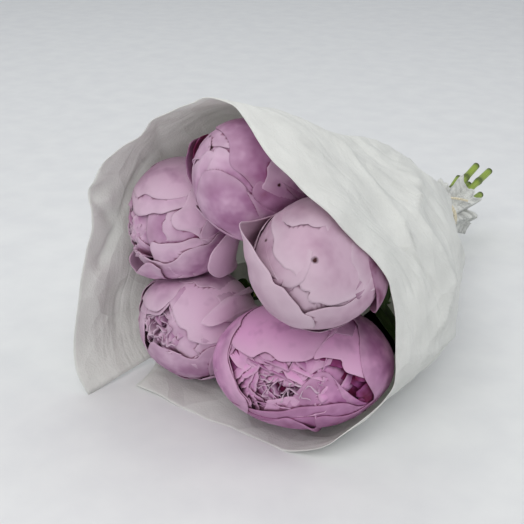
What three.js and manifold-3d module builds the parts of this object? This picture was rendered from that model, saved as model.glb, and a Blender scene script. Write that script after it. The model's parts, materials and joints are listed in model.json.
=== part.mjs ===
// A bunch of five peonies, rolled in a sheet of white paper that is tied at the neck,
// lying on its side. Millimetres, +Z up. The mouth of the roll faces -Y, the stems +Y.
// Inside the group, Y = 0 is the plane of the bloom centres and Z = 0 is the table.
import * as THREE from "three";
import { mergeVertices } from "three/addons/utils/BufferGeometryUtils.js";
import Module from "manifold-3d";

// ---- driving dimensions -------------------------------------------------------------
const ORIGIN = [8.3, 171.2, 0];   // what becomes the part's origin: under the middle of its box
const PAPER = 0.8;                // thickness of the paper
const LAP_INSET = 2.4;            // how far the inner layer lies under the outer one at the seam
const PLEATS = 8;                 // folds gathered in the neck
const PLEAT_DEPTH = 1.2;          // half height of those folds
const PLEATS_FROM_Y = 120;        // where they begin
const NECK = [-5, 300, 44];       // the middle of the neck, where the roll is tied
const NECK_Y = NECK[1];
const TAIL_Y = 331;               // where the gathered paper ends, on average
const NECK_RADIUS = 15;
const NECK_HALF = 5;              // half the straight length under the twine
const WALL_CLEARANCE = 6;         // blooms and leaves stay this far inside the paper's face
const FLOOR_CLEARANCE = 5;        // and this far above the table
const BLOOM_GAP = 0.25;           // half the gap between two blooms pressed together
const PRESS_DEPTH = 7;            // how far back a bloom gives way to its neighbour
const STEM_RADIUS = 3.25;
const STEM_PITCH = 6.8;           // from the middle stem to those round it, in the neck
const RECEPTACLE_RADIUS = 8;
const RECEPTACLE_GAP = 4.8;       // from the bloom's nominal base to the receptacle
const SEPAL_OFFSET = 6.0;         // sepals lie this far outside the petals
const PETAL_EDGE = 1.0;           // thickness of a petal at its rim
const HEART_EDGE = 1.1;           // thickness of a crumpled petal in the opening
const CORE_SHARE = 0.14;          // how far the solid middle lies inside, as a share of the reach
const WIDE_OPEN = 150;            // blooms that close to less than this angle show their heart
const SEPALS = 5;
const SEPAL_HALF_WIDTH = 12;      // in degrees round the bloom
const SEPAL_THICKNESS = 1.4;
const LEAF_FORK = 0.38;           // where a leaf's stalk ends, as a share of its length
const LEAF_THICKNESS = 1.1;
const LEAFLETS = [                // each: how far along and to the side its tip is, half width
  { along: 1, aside: 0, halfWidth: 9 },
  { along: 0.84, aside: 0.26, halfWidth: 7 },
  { along: 0.84, aside: -0.26, halfWidth: 7 },
];
const TWINE_RADIUS = 1.1;
const TWINE_TURNS = 3;
const TWINE_SIDES = 16;
const DETAIL = 0.15;              // bumps smaller than this are smoothed away after joining
const WELD = 0.002;               // points closer than this become one

// The roll's cross-sections: its middle (x, z) and its radius every 45 degrees from the
// top, clockwise as seen from the mouth.
const SECTIONS = [
  { y: -65, x: 5, z: 105, r: [114, 106, 106, 122, 107, 137, 92, 106] },
  { y: 0, x: 5, z: 105, r: [109, 103, 109, 125, 107, 133, 90, 102] },
  { y: 60, x: 7, z: 101, r: [89, 89, 111, 120, 103, 122, 86, 86] },
  { y: 110, x: 8, z: 92, r: [76, 87, 97, 112, 94, 104, 76, 73] },
  { y: 160, x: 7, z: 78, r: [67, 71, 76, 85, 80, 82, 62, 59] },
  { y: 210, x: 3, z: 62, r: [45, 46, 53, 62, 58, 54, 44, 42] },
  { y: 260, x: -2, z: 49, r: [28, 29, 31, 33, 34, 32, 28, 27] },
  { y: NECK_Y - NECK_HALF, x: NECK[0], z: NECK[2], r: Array(8).fill(NECK_RADIUS) },
  { y: NECK_Y + NECK_HALF, x: NECK[0], z: NECK[2], r: Array(8).fill(NECK_RADIUS) },
  { y: 315, x: -6, z: 44, r: Array(8).fill(18) },
  { y: 334, x: -7, z: 45, r: Array(8).fill(26) },
];

// The mouth's edge: how far forward the sheet reaches at each angle round the roll.
// It starts at the left flap's lower edge and ends at the bottom sheet's left edge.
const FLAP_ANGLE = 222;
const MOUTH_EDGE = [
  [222, -63], [242, -60], [262, -57], [282, -55], [302, -53], [322, -40], [342, -33], [355, -23],
  [365, -24], [380, -36], [392, -37], [402, -33], [412, -26], [422, -14], [432, 0], [445, 7],
  [460, 7], [472, 12], [481, 13], [492, -16], [505, -26], [530, -31], [575, -35],
];
const SEAM_ANGLE_MOUTH = 575;     // where the sheet ends at the mouth
const SEAM_ANGLE_DEEP = 602;      // and where it ends deeper in, under the flap
const SEAM_DEEP_Y = 80;

// The blooms. axis points out of the bloom; wide, tall and reach are half sizes across,
// up and along the axis. open is the angle from the stem to which the outer petals close.
const BLOOMS = [
  { name: "front", at: [52, 2, 49.3], axis: [0.54, -0.84, -0.08], wide: 58, tall: 40, reach: 44,
    open: 138, heart: 7, turn: 20, seed: 3, tint: 0xb985ae },
  { name: "right", at: [72, -14, 133.3], axis: [0.22, -0.95, -0.18], wide: 39.5, tall: 38.5, reach: 43,
    open: 166, heart: 2, turn: 55, seed: 5, tint: 0xcfb0c8 },
  { name: "top", at: [13.5, 1, 168], axis: [-0.38, -0.70, 0.60], wide: 32.5, tall: 37.5, reach: 42,
    open: 164, heart: 2, turn: 10, seed: 8, tint: 0xc79abb },
  { name: "left", at: [-57, 6, 122], axis: [-0.21, -0.98, 0], wide: 38, tall: 41, reach: 38,
    open: 142, heart: 6, turn: 40, seed: 13, tint: 0xd0a8c6 },
  { name: "low", at: [-42, 3.5, 48], axis: [0.10, -0.98, 0.12], wide: 41.5, tall: 39.5, reach: 40,
    open: 142, heart: 6, turn: 0, seed: 21, tint: 0xc592ba },
];

// Rings of petals, outermost first: how many, the half width in degrees, how far past or
// short of the opening they reach, and how far out they lie and flare.
const RINGS_OPEN = [
  { count: 5, half: 38, reachBy: -26, layer: 2.2, flare: 2.5, wave: 1.6 },
  { count: 4, half: 38, reachBy: -6, layer: 0.4, flare: 0.5, wave: 1.8 },
  { count: 3, half: 32, reachBy: 6, layer: -2.4, flare: 0, wave: 2.2 },
];
const RINGS_CLOSED = [
  { count: 4, half: 44, reachBy: -48, layer: 2.2, flare: 1.5, wave: 1.0 },
  { count: 3, half: 50, reachBy: -16, layer: 0.4, flare: 0, wave: 1.2 },
  { count: 2, half: 40, reachBy: 0, layer: -2.4, flare: 0, wave: 1.6 },
];

// Each stem: where it sits in the neck (degrees round the middle stem, or null for the
// middle one), where its cut end is, and where its leaf's tip reaches.
const STEMS = {
  front: { neck: 135, tip: [-8.5, 395, 36], leaf: [84, 84, 46], leafFrom: 110 },
  right: { neck: 60, tip: [-6, 405, 59], leaf: [99, 40, 93], leafFrom: 86 },
  top: { neck: 345, tip: [-11.5, 385, 69], leaf: [16, 62, 178], leafFrom: 112 },
  left: { neck: 270, tip: [-22, 370, 58], leaf: [-56, 74, 128], leafFrom: 116 },
  low: { neck: null, tip: [-14, 377, 51], leaf: [-62, 84, 34], leafFrom: 118 },
};

const COLOURS = { paper: 0xe6e8e6, twine: 0xe9e2cf, stem: 0x7f9638 };

// ---- small helpers ------------------------------------------------------------------
const wasm = await Module();
wasm.setup();

const radians = THREE.MathUtils.degToRad;
const lerp = THREE.MathUtils.lerp;
const smooth = THREE.MathUtils.smoothstep;
const vec = (a) => new THREE.Vector3(...a);
const range = (n) => Array.from({ length: n }, (_, i) => i);

function seeded(seed) {
  let state = seed * 2654435761;
  return () => {
    state = (Math.imul(state ^ (state >>> 15), 2246822519) + 3266489917) >>> 0;
    return ((state ^ (state >>> 13)) >>> 0) / 4294967296;
  };
}

// Smooth curve through points with rising xs.
function through(xs, ys, x) {
  const at = Math.min(Math.max(x, xs[0]), xs.at(-1));
  const i = Math.min(Math.max(xs.findLastIndex((v) => v <= at), 0), xs.length - 2);
  const h = xs[i + 1] - xs[i];
  const t = (at - xs[i]) / h;
  const slope = (k) => {
    const a = Math.max(k - 1, 0);
    const b = Math.min(k + 1, xs.length - 1);
    return (ys[b] - ys[a]) / (xs[b] - xs[a]);
  };
  const t2 = t * t;
  const t3 = t2 * t;
  return (2 * t3 - 3 * t2 + 1) * ys[i] + (t3 - 2 * t2 + t) * h * slope(i)
    + (3 * t2 - 2 * t3) * ys[i + 1] + (t3 - t2) * h * slope(i + 1);
}

// Smooth closed curve through eight radii.
function around(radii, angle) {
  const k = (((angle % 360) + 360) % 360) / 45;
  const i = Math.floor(k);
  const t = k - i;
  const [a, b, c, d] = [-1, 0, 1, 2].map((o) => radii[(i + o + 8) % 8]);
  return 0.5 * (2 * b + (c - a) * t + (2 * a - 5 * b + 4 * c - d) * t * t
    + (3 * b - a - 3 * c + d) * t * t * t);
}

// ---- solids -------------------------------------------------------------------------
// positions is a flat list, triangles a list of index triples.
function solid(positions, triangles) {
  const mesh = new wasm.Mesh({
    numProp: 3,
    vertProperties: new Float32Array(positions),
    triVerts: new Uint32Array(triangles.flat()),
  });
  mesh.merge();
  return new wasm.Manifold(mesh);
}

// A closed blade between two grids of points, cut into triangles alike on both faces.
function blade(front, back) {
  const rows = front.length;
  const cols = front[0].length;
  const positions = [...front.flat(), ...back.flat()].flatMap((p) => [p.x, p.y, p.z]);
  const f = (i, j) => i * cols + j;
  const b = (i, j) => rows * cols + i * cols + j;
  const triangles = [];
  for (let i = 0; i < rows - 1; i += 1) {
    for (let j = 0; j < cols - 1; j += 1) {
      triangles.push([f(i, j), f(i, j + 1), f(i + 1, j + 1)], [f(i, j), f(i + 1, j + 1), f(i + 1, j)]);
      triangles.push([b(i, j), b(i + 1, j + 1), b(i, j + 1)], [b(i, j), b(i + 1, j), b(i + 1, j + 1)]);
    }
  }
  const rim = [
    ...range(cols - 1).map((j) => [[0, j], [0, j + 1]]),
    ...range(rows - 1).map((i) => [[i, cols - 1], [i + 1, cols - 1]]),
    ...range(cols - 1).map((j) => [[rows - 1, cols - 1 - j], [rows - 1, cols - 2 - j]]),
    ...range(rows - 1).map((i) => [[rows - 1 - i, 0], [rows - 2 - i, 0]]),
  ];
  for (const [[i, j], [k, l]] of rim) {
    triangles.push([f(i, j), b(i, j), b(k, l)], [f(i, j), b(k, l), f(k, l)]);
  }
  return outward(positions, triangles);
}

// Turns the faces round if they point in.
function outward(positions, triangles) {
  const p = (i) => new THREE.Vector3().fromArray(positions, i * 3);
  const volume = triangles.reduce((sum, [a, b, c]) => sum + p(a).dot(p(b).cross(p(c))), 0);
  return solid(positions, volume > 0 ? triangles : triangles.map(([a, b, c]) => [a, c, b]));
}

// A round bar along a list of points, with a radius at each.
function bar(points, radii, sides) {
  const positions = [];
  const side = new THREE.Vector3(0.31, 0.17, 0.94);
  points.forEach((p, i) => {
    const ahead = points[Math.min(i + 1, points.length - 1)].clone();
    const along = ahead.sub(points[Math.max(i - 1, 0)]).normalize();
    const u = new THREE.Vector3().crossVectors(along, side).normalize();
    const v = new THREE.Vector3().crossVectors(along, u);
    for (let k = 0; k < sides; k += 1) {
      const angle = (2 * Math.PI * k) / sides;
      const q = p.clone().addScaledVector(u, radii[i] * Math.cos(angle));
      q.addScaledVector(v, radii[i] * Math.sin(angle));
      positions.push(q.x, q.y, q.z);
    }
  });
  const triangles = [];
  const at = (i, k) => i * sides + (k % sides);
  for (let i = 0; i < points.length - 1; i += 1) {
    for (let k = 0; k < sides; k += 1) {
      triangles.push([at(i, k), at(i + 1, k), at(i + 1, k + 1)]);
      triangles.push([at(i, k), at(i + 1, k + 1), at(i, k + 1)]);
    }
  }
  const last = points.length - 1;
  for (let k = 1; k < sides - 1; k += 1) {
    triangles.push([at(0, 0), at(0, k), at(0, k + 1)], [at(last, 0), at(last, k + 1), at(last, k)]);
  }
  return outward(positions, triangles);
}

function geometryOf(made) {
  const { vertProperties, triVerts } = made.getMesh();
  const geometry = new THREE.BufferGeometry();
  geometry.setAttribute("position", new THREE.BufferAttribute(vertProperties.slice(), 3));
  geometry.setIndex(new THREE.BufferAttribute(triVerts.slice(), 1));
  return geometry;
}

// The largest body, with the hollows sealed inside it filled.
function largestBody(made) {
  return made.decompose().reduce((a, b) => (b.volume() > a.volume() ? b : a));
}

// Two corners of one body that meet in a point are drawn a little into the body.
function partTouchingCorners(made) {
  const geometry = geometryOf(made);
  geometry.computeVertexNormals();
  const { position, normal } = geometry.attributes;
  const places = new Map();
  for (const i of range(position.count)) {
    const p = [position.getX(i), position.getY(i), position.getZ(i)];
    const key = p.map((v) => Math.round(v / WELD)).join();
    places.set(key, [...(places.get(key) ?? []), i]);
  }
  for (const i of [...places.values()].filter((group) => group.length > 1).flat()) {
    const p = new THREE.Vector3().fromBufferAttribute(position, i);
    p.addScaledVector(new THREE.Vector3().fromBufferAttribute(normal, i), -3 * WELD * (1 + (i % 5)));
    position.setXYZ(i, p.x, p.y, p.z);
  }
  const faces = range(geometry.index.count / 3);
  return solid([...position.array], faces.map((i) => [...geometry.index.array.slice(3 * i, 3 * i + 3)]));
}

// Joins solids, smooths away bumps finer than DETAIL and welds points closer than WELD.
function joined(solids) {
  const smoothed = largestBody(wasm.Manifold.union(solids)).asOriginal().simplify(DETAIL);
  const { attributes, index } = mergeVertices(geometryOf(largestBody(smoothed)), WELD);
  const faces = range(index.count / 3).map((i) => [...index.array.slice(3 * i, 3 * i + 3)]);
  const whole = faces.filter(([a, b, c]) => a !== b && b !== c && a !== c);
  return partTouchingCorners(largestBody(solid([...attributes.position.array], whole)));
}

function asMesh(name, made, colour, roughness) {
  const geometry = geometryOf(made);
  const mesh = new THREE.Mesh(geometry, new THREE.MeshStandardMaterial({ color: colour, roughness }));
  mesh.name = name;
  return mesh;
}

// ---- the paper roll -----------------------------------------------------------------
const SECTION_YS = SECTIONS.map((s) => s.y);

function rollMiddle(y) {
  const x = through(SECTION_YS, SECTIONS.map((s) => s.x), y);
  const z = through(SECTION_YS, SECTIONS.map((s) => s.z), y);
  return { x, z };
}

function rollRadius(angle, y) {
  return through(SECTION_YS, SECTIONS.map((s) => around(s.r, angle)), y);
}

function rollPoint(angle, y, depth) {
  const middle = rollMiddle(y);
  const gathered = smooth(y, PLEATS_FROM_Y, NECK_Y) * PLEAT_DEPTH * (1 + 1.5 * smooth(y, NECK_Y, TAIL_Y));
  const radius = rollRadius(angle, y) - depth + gathered * Math.sin(radians(angle * PLEATS));
  const z = middle.z + radius * Math.cos(radians(angle));
  return new THREE.Vector3(middle.x + radius * Math.sin(radians(angle)), y, Math.max(depth, z));
}

function mouthEdge(angle) {
  return through(MOUTH_EDGE.map((e) => e[0]), MOUTH_EDGE.map((e) => e[1]), angle);
}

function tailEdge(angle) {
  return TAIL_Y + 3 * Math.sin(radians(3 * angle)) + 2 * Math.sin(radians(7 * angle));
}

function paperWrap() {
  const across = 46;
  const toNeck = [0, 0.09, 0.19, 0.3, 0.42, 0.54, 0.66, 0.77, 0.87, 0.94, 1];
  const pastNeck = [0, 0.45, 1];
  const face = (depth) => range(across + 1).map((i) => [...toNeck, ...pastNeck].map((t, row) => {
    const mouthAngle = lerp(FLAP_ANGLE, SEAM_ANGLE_MOUTH, i / across);
    const deepAngle = lerp(FLAP_ANGLE, SEAM_ANGLE_DEEP, i / across);
    const front = mouthEdge(mouthAngle);
    const y = row < toNeck.length
      ? lerp(front, NECK_Y - NECK_HALF, t)
      : lerp(NECK_Y + NECK_HALF, tailEdge(deepAngle), t);
    const angle = lerp(mouthAngle, deepAngle, smooth(y, front, SEAM_DEEP_Y));
    const under = LAP_INSET * smooth(angle, 545, 578);
    return rollPoint(angle, y, under + depth);
  }));
  return blade(face(0), face(PAPER));
}

// ---- blooms -------------------------------------------------------------------------
// Pushes a point back where a neighbour or the paper presses on the bloom.
function giveWay(beyond) {
  if (beyond <= -PRESS_DEPTH) return 0;
  const room = PRESS_DEPTH - BLOOM_GAP;
  return -PRESS_DEPTH + room * Math.tanh((beyond + PRESS_DEPTH) / room) - beyond;
}

function frameOf(bloom) {
  const centre = vec(bloom.at);
  const axis = vec(bloom.axis).normalize();
  const up = new THREE.Vector3(0, 0, 1).addScaledVector(axis, -axis.z).normalize();
  const right = new THREE.Vector3().crossVectors(up, axis);
  return { ...bloom, centre, axis, up, right };
}

const FRAMES = BLOOMS.map(frameOf);

function halfSizeAlong(frame, direction) {
  return Math.hypot(frame.wide * frame.right.dot(direction), frame.tall * frame.up.dot(direction),
    frame.reach * frame.axis.dot(direction));
}

function pressed(point, frame) {
  const p = point.clone();
  for (const other of FRAMES.filter((f) => f !== frame)) {
    const towards = other.centre.clone().sub(frame.centre);
    const distance = towards.length();
    towards.divideScalar(distance);
    const mine = halfSizeAlong(frame, towards);
    const border = (distance * mine) / (mine + halfSizeAlong(other, towards));
    const beyond = p.clone().sub(frame.centre).dot(towards) - border;
    p.addScaledVector(towards, giveWay(beyond));
  }
  return insideRoll(p);
}

function insideRoll(p) {
  const middle = rollMiddle(p.y);
  const dx = p.x - middle.x;
  const dz = p.z - middle.z;
  const radius = Math.hypot(dx, dz);
  const limit = rollRadius(THREE.MathUtils.radToDeg(Math.atan2(dx, dz)), p.y) - WALL_CLEARANCE;
  const shrink = (radius + giveWay(radius - limit)) / Math.max(radius, 1);
  const z = middle.z + dz * shrink;
  const lifted = z - giveWay(FLOOR_CLEARANCE - z) * 0.5;
  return new THREE.Vector3(middle.x + dx * shrink, p.y, Math.max(lifted, FLOOR_CLEARANCE));
}

// A point on the bloom: alpha runs from the stem (0) to the opening (180) along the
// direction turn, and side is the angle off that line. off is the height above the bloom.
function bloomPoint(frame, turn, alpha, side, off) {
  const [t, a, s] = [turn, alpha, side].map(radians);
  const up = Math.cos(s) * Math.sin(a) * Math.cos(t) - Math.sin(s) * Math.sin(t);
  const right = Math.cos(s) * Math.sin(a) * Math.sin(t) + Math.sin(s) * Math.cos(t);
  const out = -Math.cos(s) * Math.cos(a);
  const p = frame.centre.clone();
  p.addScaledVector(frame.up, up * (frame.tall + off));
  p.addScaledVector(frame.right, right * (frame.wide + off));
  p.addScaledVector(frame.axis, out * (frame.reach + off));
  return p;
}

function petal(frame, { turn, from, to, half, layer, flare, wave, phase }) {
  const sides = [-1, -0.55, 0, 0.55, 1];
  const steps = [0, 0.45, 0.72, 0.88, 1];
  const core = 0.16 * frame.reach + 3;
  const face = (inner) => sides.map((u) => steps.map((v) => {
    const ragged = 0.05 * Math.sin(5 * u + phase) * v;
    const alpha = lerp(from, to, v * (1 - 0.16 * Math.abs(u) ** 3 + ragged));
    const widening = 0.35 + 0.65 * Math.sin((Math.PI / 2) * Math.min(1, v / 0.6));
    const narrowing = 0.15 * Math.max(0, (v - 0.6) / 0.4) ** 2;
    const wavy = wave * Math.sin(3.2 * u + phase) * v * v;
    const off = layer + flare * v * v * v + wavy + 0.8 * (1 - u * u) * v;
    const thick = lerp(core + layer, PETAL_EDGE, smooth(v, 0.35, 0.85));
    const side = u * half * (widening - narrowing);
    return pressed(bloomPoint(frame, turn, alpha, side, off - (inner ? thick : 0)), frame);
  }));
  return blade(face(false), face(true));
}

// The solid middle of a bloom, hollowed a little at its opening.
function bloomCore(frame) {
  const [sectors, rings] = [12, 8];
  const positions = [];
  const dent = frame.open < WIDE_OPEN ? 9 : 3;
  const put = (turn, alpha) => {
    const off = -CORE_SHARE * frame.reach - dent * smooth(alpha, frame.open - 25, frame.open + 12);
    const p = pressed(bloomPoint(frame, turn, alpha, 0, off), frame);
    positions.push(p.x, p.y, p.z);
  };
  put(0, 0);
  for (const i of range(rings - 1)) {
    for (const k of range(sectors)) put((360 * k) / sectors, (180 * (i + 1)) / rings);
  }
  put(0, 180);
  const at = (i, k) => 1 + i * sectors + (k % sectors);
  const last = 1 + (rings - 1) * sectors;
  const triangles = [];
  for (const k of range(sectors)) {
    triangles.push([0, at(0, k), at(0, k + 1)], [last, at(rings - 2, k + 1), at(rings - 2, k)]);
    for (const i of range(rings - 2)) {
      triangles.push([at(i, k), at(i + 1, k), at(i + 1, k + 1)]);
      triangles.push([at(i, k), at(i + 1, k + 1), at(i, k + 1)]);
    }
  }
  return outward(positions, triangles);
}

// One crumpled petal standing in the opening.
function heartPetal(frame, turn, alpha, random) {
  const height = 10 + 5 * random();
  const halfWidth = 7 + 4 * random();
  const twist = (random() - 0.5) * 70;
  const lean = (random() - 0.5) * 10;
  const foot = bloomPoint(frame, turn, alpha, 0, -CORE_SHARE * frame.reach - 13);
  const radial = bloomPoint(frame, turn, alpha + 1, 0, 0).sub(bloomPoint(frame, turn, alpha, 0, 0));
  radial.normalize();
  const out = frame.axis.clone();
  const across = new THREE.Vector3().crossVectors(out, radial).normalize();
  across.applyAxisAngle(out, radians(twist));
  const deep = new THREE.Vector3().crossVectors(out, across);
  const face = (depth) => [-1, -0.33, 0.33, 1].map((u) => [0, 1].map((v) => {
    const bow = 2.2 * Math.sin(2.6 * u + lean) * v;
    const p = foot.clone().addScaledVector(across, u * halfWidth * (0.5 + 0.5 * v));
    p.addScaledVector(out, v * (height + 1.5 * Math.cos(4 * u + lean)));
    return pressed(p.addScaledVector(deep, bow + lean * v * 0.5 + depth), frame);
  }));
  return blade(face(0), face(HEART_EDGE));
}

function bloom(frame) {
  const random = seeded(frame.seed);
  const rings = frame.open < WIDE_OPEN ? RINGS_OPEN : RINGS_CLOSED;
  const pieces = [bloomCore(frame)];
  rings.forEach((ring, depth) => {
    for (const i of range(ring.count)) {
      pieces.push(petal(frame, {
        turn: frame.turn + (360 * (i + depth * 0.45)) / ring.count + 12 * (random() - 0.5),
        from: 8,
        to: frame.open + ring.reachBy + 10 * (random() - 0.5),
        half: ring.half * (0.92 + 0.16 * random()),
        layer: ring.layer + 0.35 * i,
        flare: ring.flare,
        wave: ring.wave,
        phase: 6 * random(),
      }));
    }
  });
  for (const i of range(frame.heart)) {
    const spread = frame.open < WIDE_OPEN ? 10 + 22 * ((i % 3) / 2) : 9;
    pieces.push(heartPetal(frame, i * 137.5 + frame.turn, 180 - spread, random));
  }
  return joined(pieces);
}

// ---- stems --------------------------------------------------------------------------
function leaflet(from, to, normal, halfWidth) {
  const along = to.clone().sub(from);
  const across = new THREE.Vector3().crossVectors(along, normal).normalize();
  const lift = normal.clone().normalize();
  const face = (depth) => [-1, 0, 1].map((u) => [0, 0.4, 0.8, 1].map((v) => {
    const width = halfWidth * Math.max(0.08, Math.sin(Math.PI * Math.min(1, v * 0.9 + 0.08)) ** 0.8);
    const p = from.clone().addScaledVector(along, v);
    p.addScaledVector(across, u * width);
    return p.addScaledVector(lift, Math.abs(u) * width * 0.3 - 5 * v * v + depth);
  }));
  return blade(face(0), face(-LEAF_THICKNESS));
}

// A leaf of three leaflets on a stalk.
function leaf(from, to) {
  const along = to.clone().sub(from);
  const normal = new THREE.Vector3(0, 1, 0.35).addScaledVector(along, -0.5 / along.length()).normalize();
  const fork = from.clone().addScaledVector(along, LEAF_FORK);
  const spread = new THREE.Vector3().crossVectors(along, normal).normalize().multiplyScalar(along.length());
  const blades = LEAFLETS.map((one) => {
    const tip = from.clone().addScaledVector(along, one.along).addScaledVector(spread, one.aside);
    return leaflet(fork, tip, normal, one.halfWidth);
  });
  const beyond = fork.clone().addScaledVector(along, 0.06);
  return [bar([from, fork, beyond], [1.5, 1.4, 1.1], 5), ...blades];
}

function stem(frame) {
  const plan = STEMS[frame.name];
  const base = frame.centre.clone().addScaledVector(frame.axis, -(frame.reach + RECEPTACLE_GAP));
  const neck = vec(NECK);
  if (plan.neck !== null) {
    neck.x += STEM_PITCH * Math.sin(radians(plan.neck));
    neck.z += STEM_PITCH * Math.cos(radians(plan.neck));
  }
  const tip = vec(plan.tip);
  const route = new THREE.CatmullRomCurve3([
    base,
    base.clone().addScaledVector(frame.axis, -26),
    base.clone().lerp(neck, 0.55).addScaledVector(frame.axis, -14),
    neck.clone().add(new THREE.Vector3(0, -40, 0)).lerp(base, 0.06),
    neck,
    neck.clone().lerp(tip, 0.3).setY(neck.y + 24),
    tip,
  ], false, "centripetal");
  const points = route.getSpacedPoints(12);
  const radii = points.map((_, i) => STEM_RADIUS * (1 + 0.05 * Math.sin(i * 1.7)));
  const cup = [-9, -3, 0].map((back) => base.clone().addScaledVector(frame.axis, back));
  const sepals = range(SEPALS).map((i) => {
    const turn = frame.turn + (360 * (i + 0.5)) / SEPALS;
    const face = (off) => [-1, 0, 1].map((u) => [0, 0.65, 1].map((v) => {
      const width = SEPAL_HALF_WIDTH * (0.75 + 0.5 * v - 0.9 * v ** 3);
      return pressed(bloomPoint(frame, turn, lerp(1, 40, v), u * width, SEPAL_OFFSET + off), frame);
    }));
    return blade(face(SEPAL_THICKNESS), face(0));
  });
  const fromPoint = points.find((p) => p.y >= plan.leafFrom);
  return joined([
    bar(points, radii, 7),
    bar(cup, [STEM_RADIUS, RECEPTACLE_RADIUS * 0.9, RECEPTACLE_RADIUS], 8),
    ...sepals,
    ...leaf(fromPoint, vec(plan.leaf)),
  ]);
}

// ---- the twine ----------------------------------------------------------------------
function twineTie() {
  const inner = (NECK_RADIUS + PLEAT_DEPTH * 1.2 + 0.5) / Math.cos(Math.PI / TWINE_SIDES);
  const pitch = TWINE_RADIUS * 1.8;
  const half = (TWINE_TURNS * pitch) / 2;
  const profile = [new THREE.Vector2(inner, -half), new THREE.Vector2(inner + TWINE_RADIUS, -half)];
  for (const i of range(TWINE_TURNS)) {
    const y = -half + pitch * (i + 0.5);
    profile.push(new THREE.Vector2(inner + 2 * TWINE_RADIUS, y - pitch * 0.2));
    profile.push(new THREE.Vector2(inner + 2 * TWINE_RADIUS, y + pitch * 0.2));
    profile.push(new THREE.Vector2(inner + TWINE_RADIUS, y + pitch * 0.5));
  }
  profile.push(new THREE.Vector2(inner, half), profile[0].clone());
  const lathe = new THREE.LatheGeometry(profile, TWINE_SIDES);
  lathe.deleteAttribute("normal");
  lathe.deleteAttribute("uv");
  lathe.translate(...NECK);
  const ring = mergeVertices(lathe, 1e-4);
  const index = [...ring.index.array];
  const faces = range(index.length / 3).map((i) => index.slice(3 * i, 3 * i + 3));
  const solidFaces = faces.filter(([a, b, c]) => a !== b && b !== c && a !== c);
  const knotAt = vec(NECK).add(new THREE.Vector3(0, 0, inner + TWINE_RADIUS * 1.6));
  const besideKnot = (x, y, z) => knotAt.clone().add(new THREE.Vector3(x, y, z));
  const knot = bar([-3.4, -1.6, 1.6, 3.4].map((x) => besideKnot(x, 0, 0)), [1.4, 2.6, 2.6, 1.4], 8);
  const ends = [-1, 1].map((side) => {
    const route = [[0, 0, 0], [8, 3, 1.5], [15, 9, 0], [19, 16, -3]];
    return bar(route.map(([x, y, z]) => besideKnot(side * x, y, z)), Array(4).fill(TWINE_RADIUS), 6);
  });
  return joined([outward([...ring.attributes.position.array], solidFaces), knot, ...ends]);
}

// ---- the bunch ----------------------------------------------------------------------
const bunch = new THREE.Group();
bunch.position.set(-ORIGIN[0], -ORIGIN[1], -ORIGIN[2]);
bunch.add(asMesh("paper_wrap", paperWrap(), COLOURS.paper, 0.8));
bunch.add(asMesh("twine_tie", twineTie(), COLOURS.twine, 0.9));
for (const frame of FRAMES) {
  bunch.add(asMesh(`bloom_${frame.name}`, bloom(frame), frame.tint, 0.7));
  bunch.add(asMesh(`stem_${frame.name}`, stem(frame), COLOURS.stem, 0.65));
}

const part = new THREE.Group();
part.add(bunch);
export default part;
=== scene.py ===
"""A bunch of five peonies rolled in white paper and tied with twine, lying on its side."""

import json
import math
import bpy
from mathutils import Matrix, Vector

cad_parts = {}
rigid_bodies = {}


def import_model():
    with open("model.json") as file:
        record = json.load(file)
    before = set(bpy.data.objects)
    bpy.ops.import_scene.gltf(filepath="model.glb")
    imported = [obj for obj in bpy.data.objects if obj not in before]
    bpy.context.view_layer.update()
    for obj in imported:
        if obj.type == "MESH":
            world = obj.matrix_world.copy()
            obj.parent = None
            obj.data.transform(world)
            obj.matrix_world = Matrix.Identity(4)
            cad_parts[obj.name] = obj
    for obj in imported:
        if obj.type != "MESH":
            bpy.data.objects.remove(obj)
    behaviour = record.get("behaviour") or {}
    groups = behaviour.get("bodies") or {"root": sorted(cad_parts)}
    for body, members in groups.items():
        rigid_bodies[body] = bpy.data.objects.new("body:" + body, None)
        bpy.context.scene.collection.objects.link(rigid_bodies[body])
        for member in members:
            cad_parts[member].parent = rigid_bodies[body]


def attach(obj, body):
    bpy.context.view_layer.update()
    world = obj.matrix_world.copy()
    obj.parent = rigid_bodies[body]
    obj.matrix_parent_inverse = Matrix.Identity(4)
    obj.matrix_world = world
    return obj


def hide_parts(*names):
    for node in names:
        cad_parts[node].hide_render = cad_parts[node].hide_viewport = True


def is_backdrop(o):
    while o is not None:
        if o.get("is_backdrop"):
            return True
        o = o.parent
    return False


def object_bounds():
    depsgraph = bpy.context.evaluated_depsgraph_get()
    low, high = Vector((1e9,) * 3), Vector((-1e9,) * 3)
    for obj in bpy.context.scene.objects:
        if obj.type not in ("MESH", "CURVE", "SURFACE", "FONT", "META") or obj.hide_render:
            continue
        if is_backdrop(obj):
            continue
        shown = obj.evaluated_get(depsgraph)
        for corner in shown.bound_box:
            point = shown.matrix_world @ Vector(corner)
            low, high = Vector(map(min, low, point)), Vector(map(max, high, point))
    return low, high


bl_info = {
    "name": "Bunch of Peonies in Paper",
    "version": (1, 0, 0),
    "blender": (4, 5, 0),
    "location": "View3D > Sidebar > Peonies",
    "description": "Dresses a packed bunch of peonies: petals, paper, stems, leaves and twine",
    "category": "Object",
}

import bpy
import numpy as np
from mathutils import Euler, Matrix, Vector
from mathutils.bvhtree import BVHTree

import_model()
CAD_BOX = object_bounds()

MM = 0.001
BODY = "root"

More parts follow.
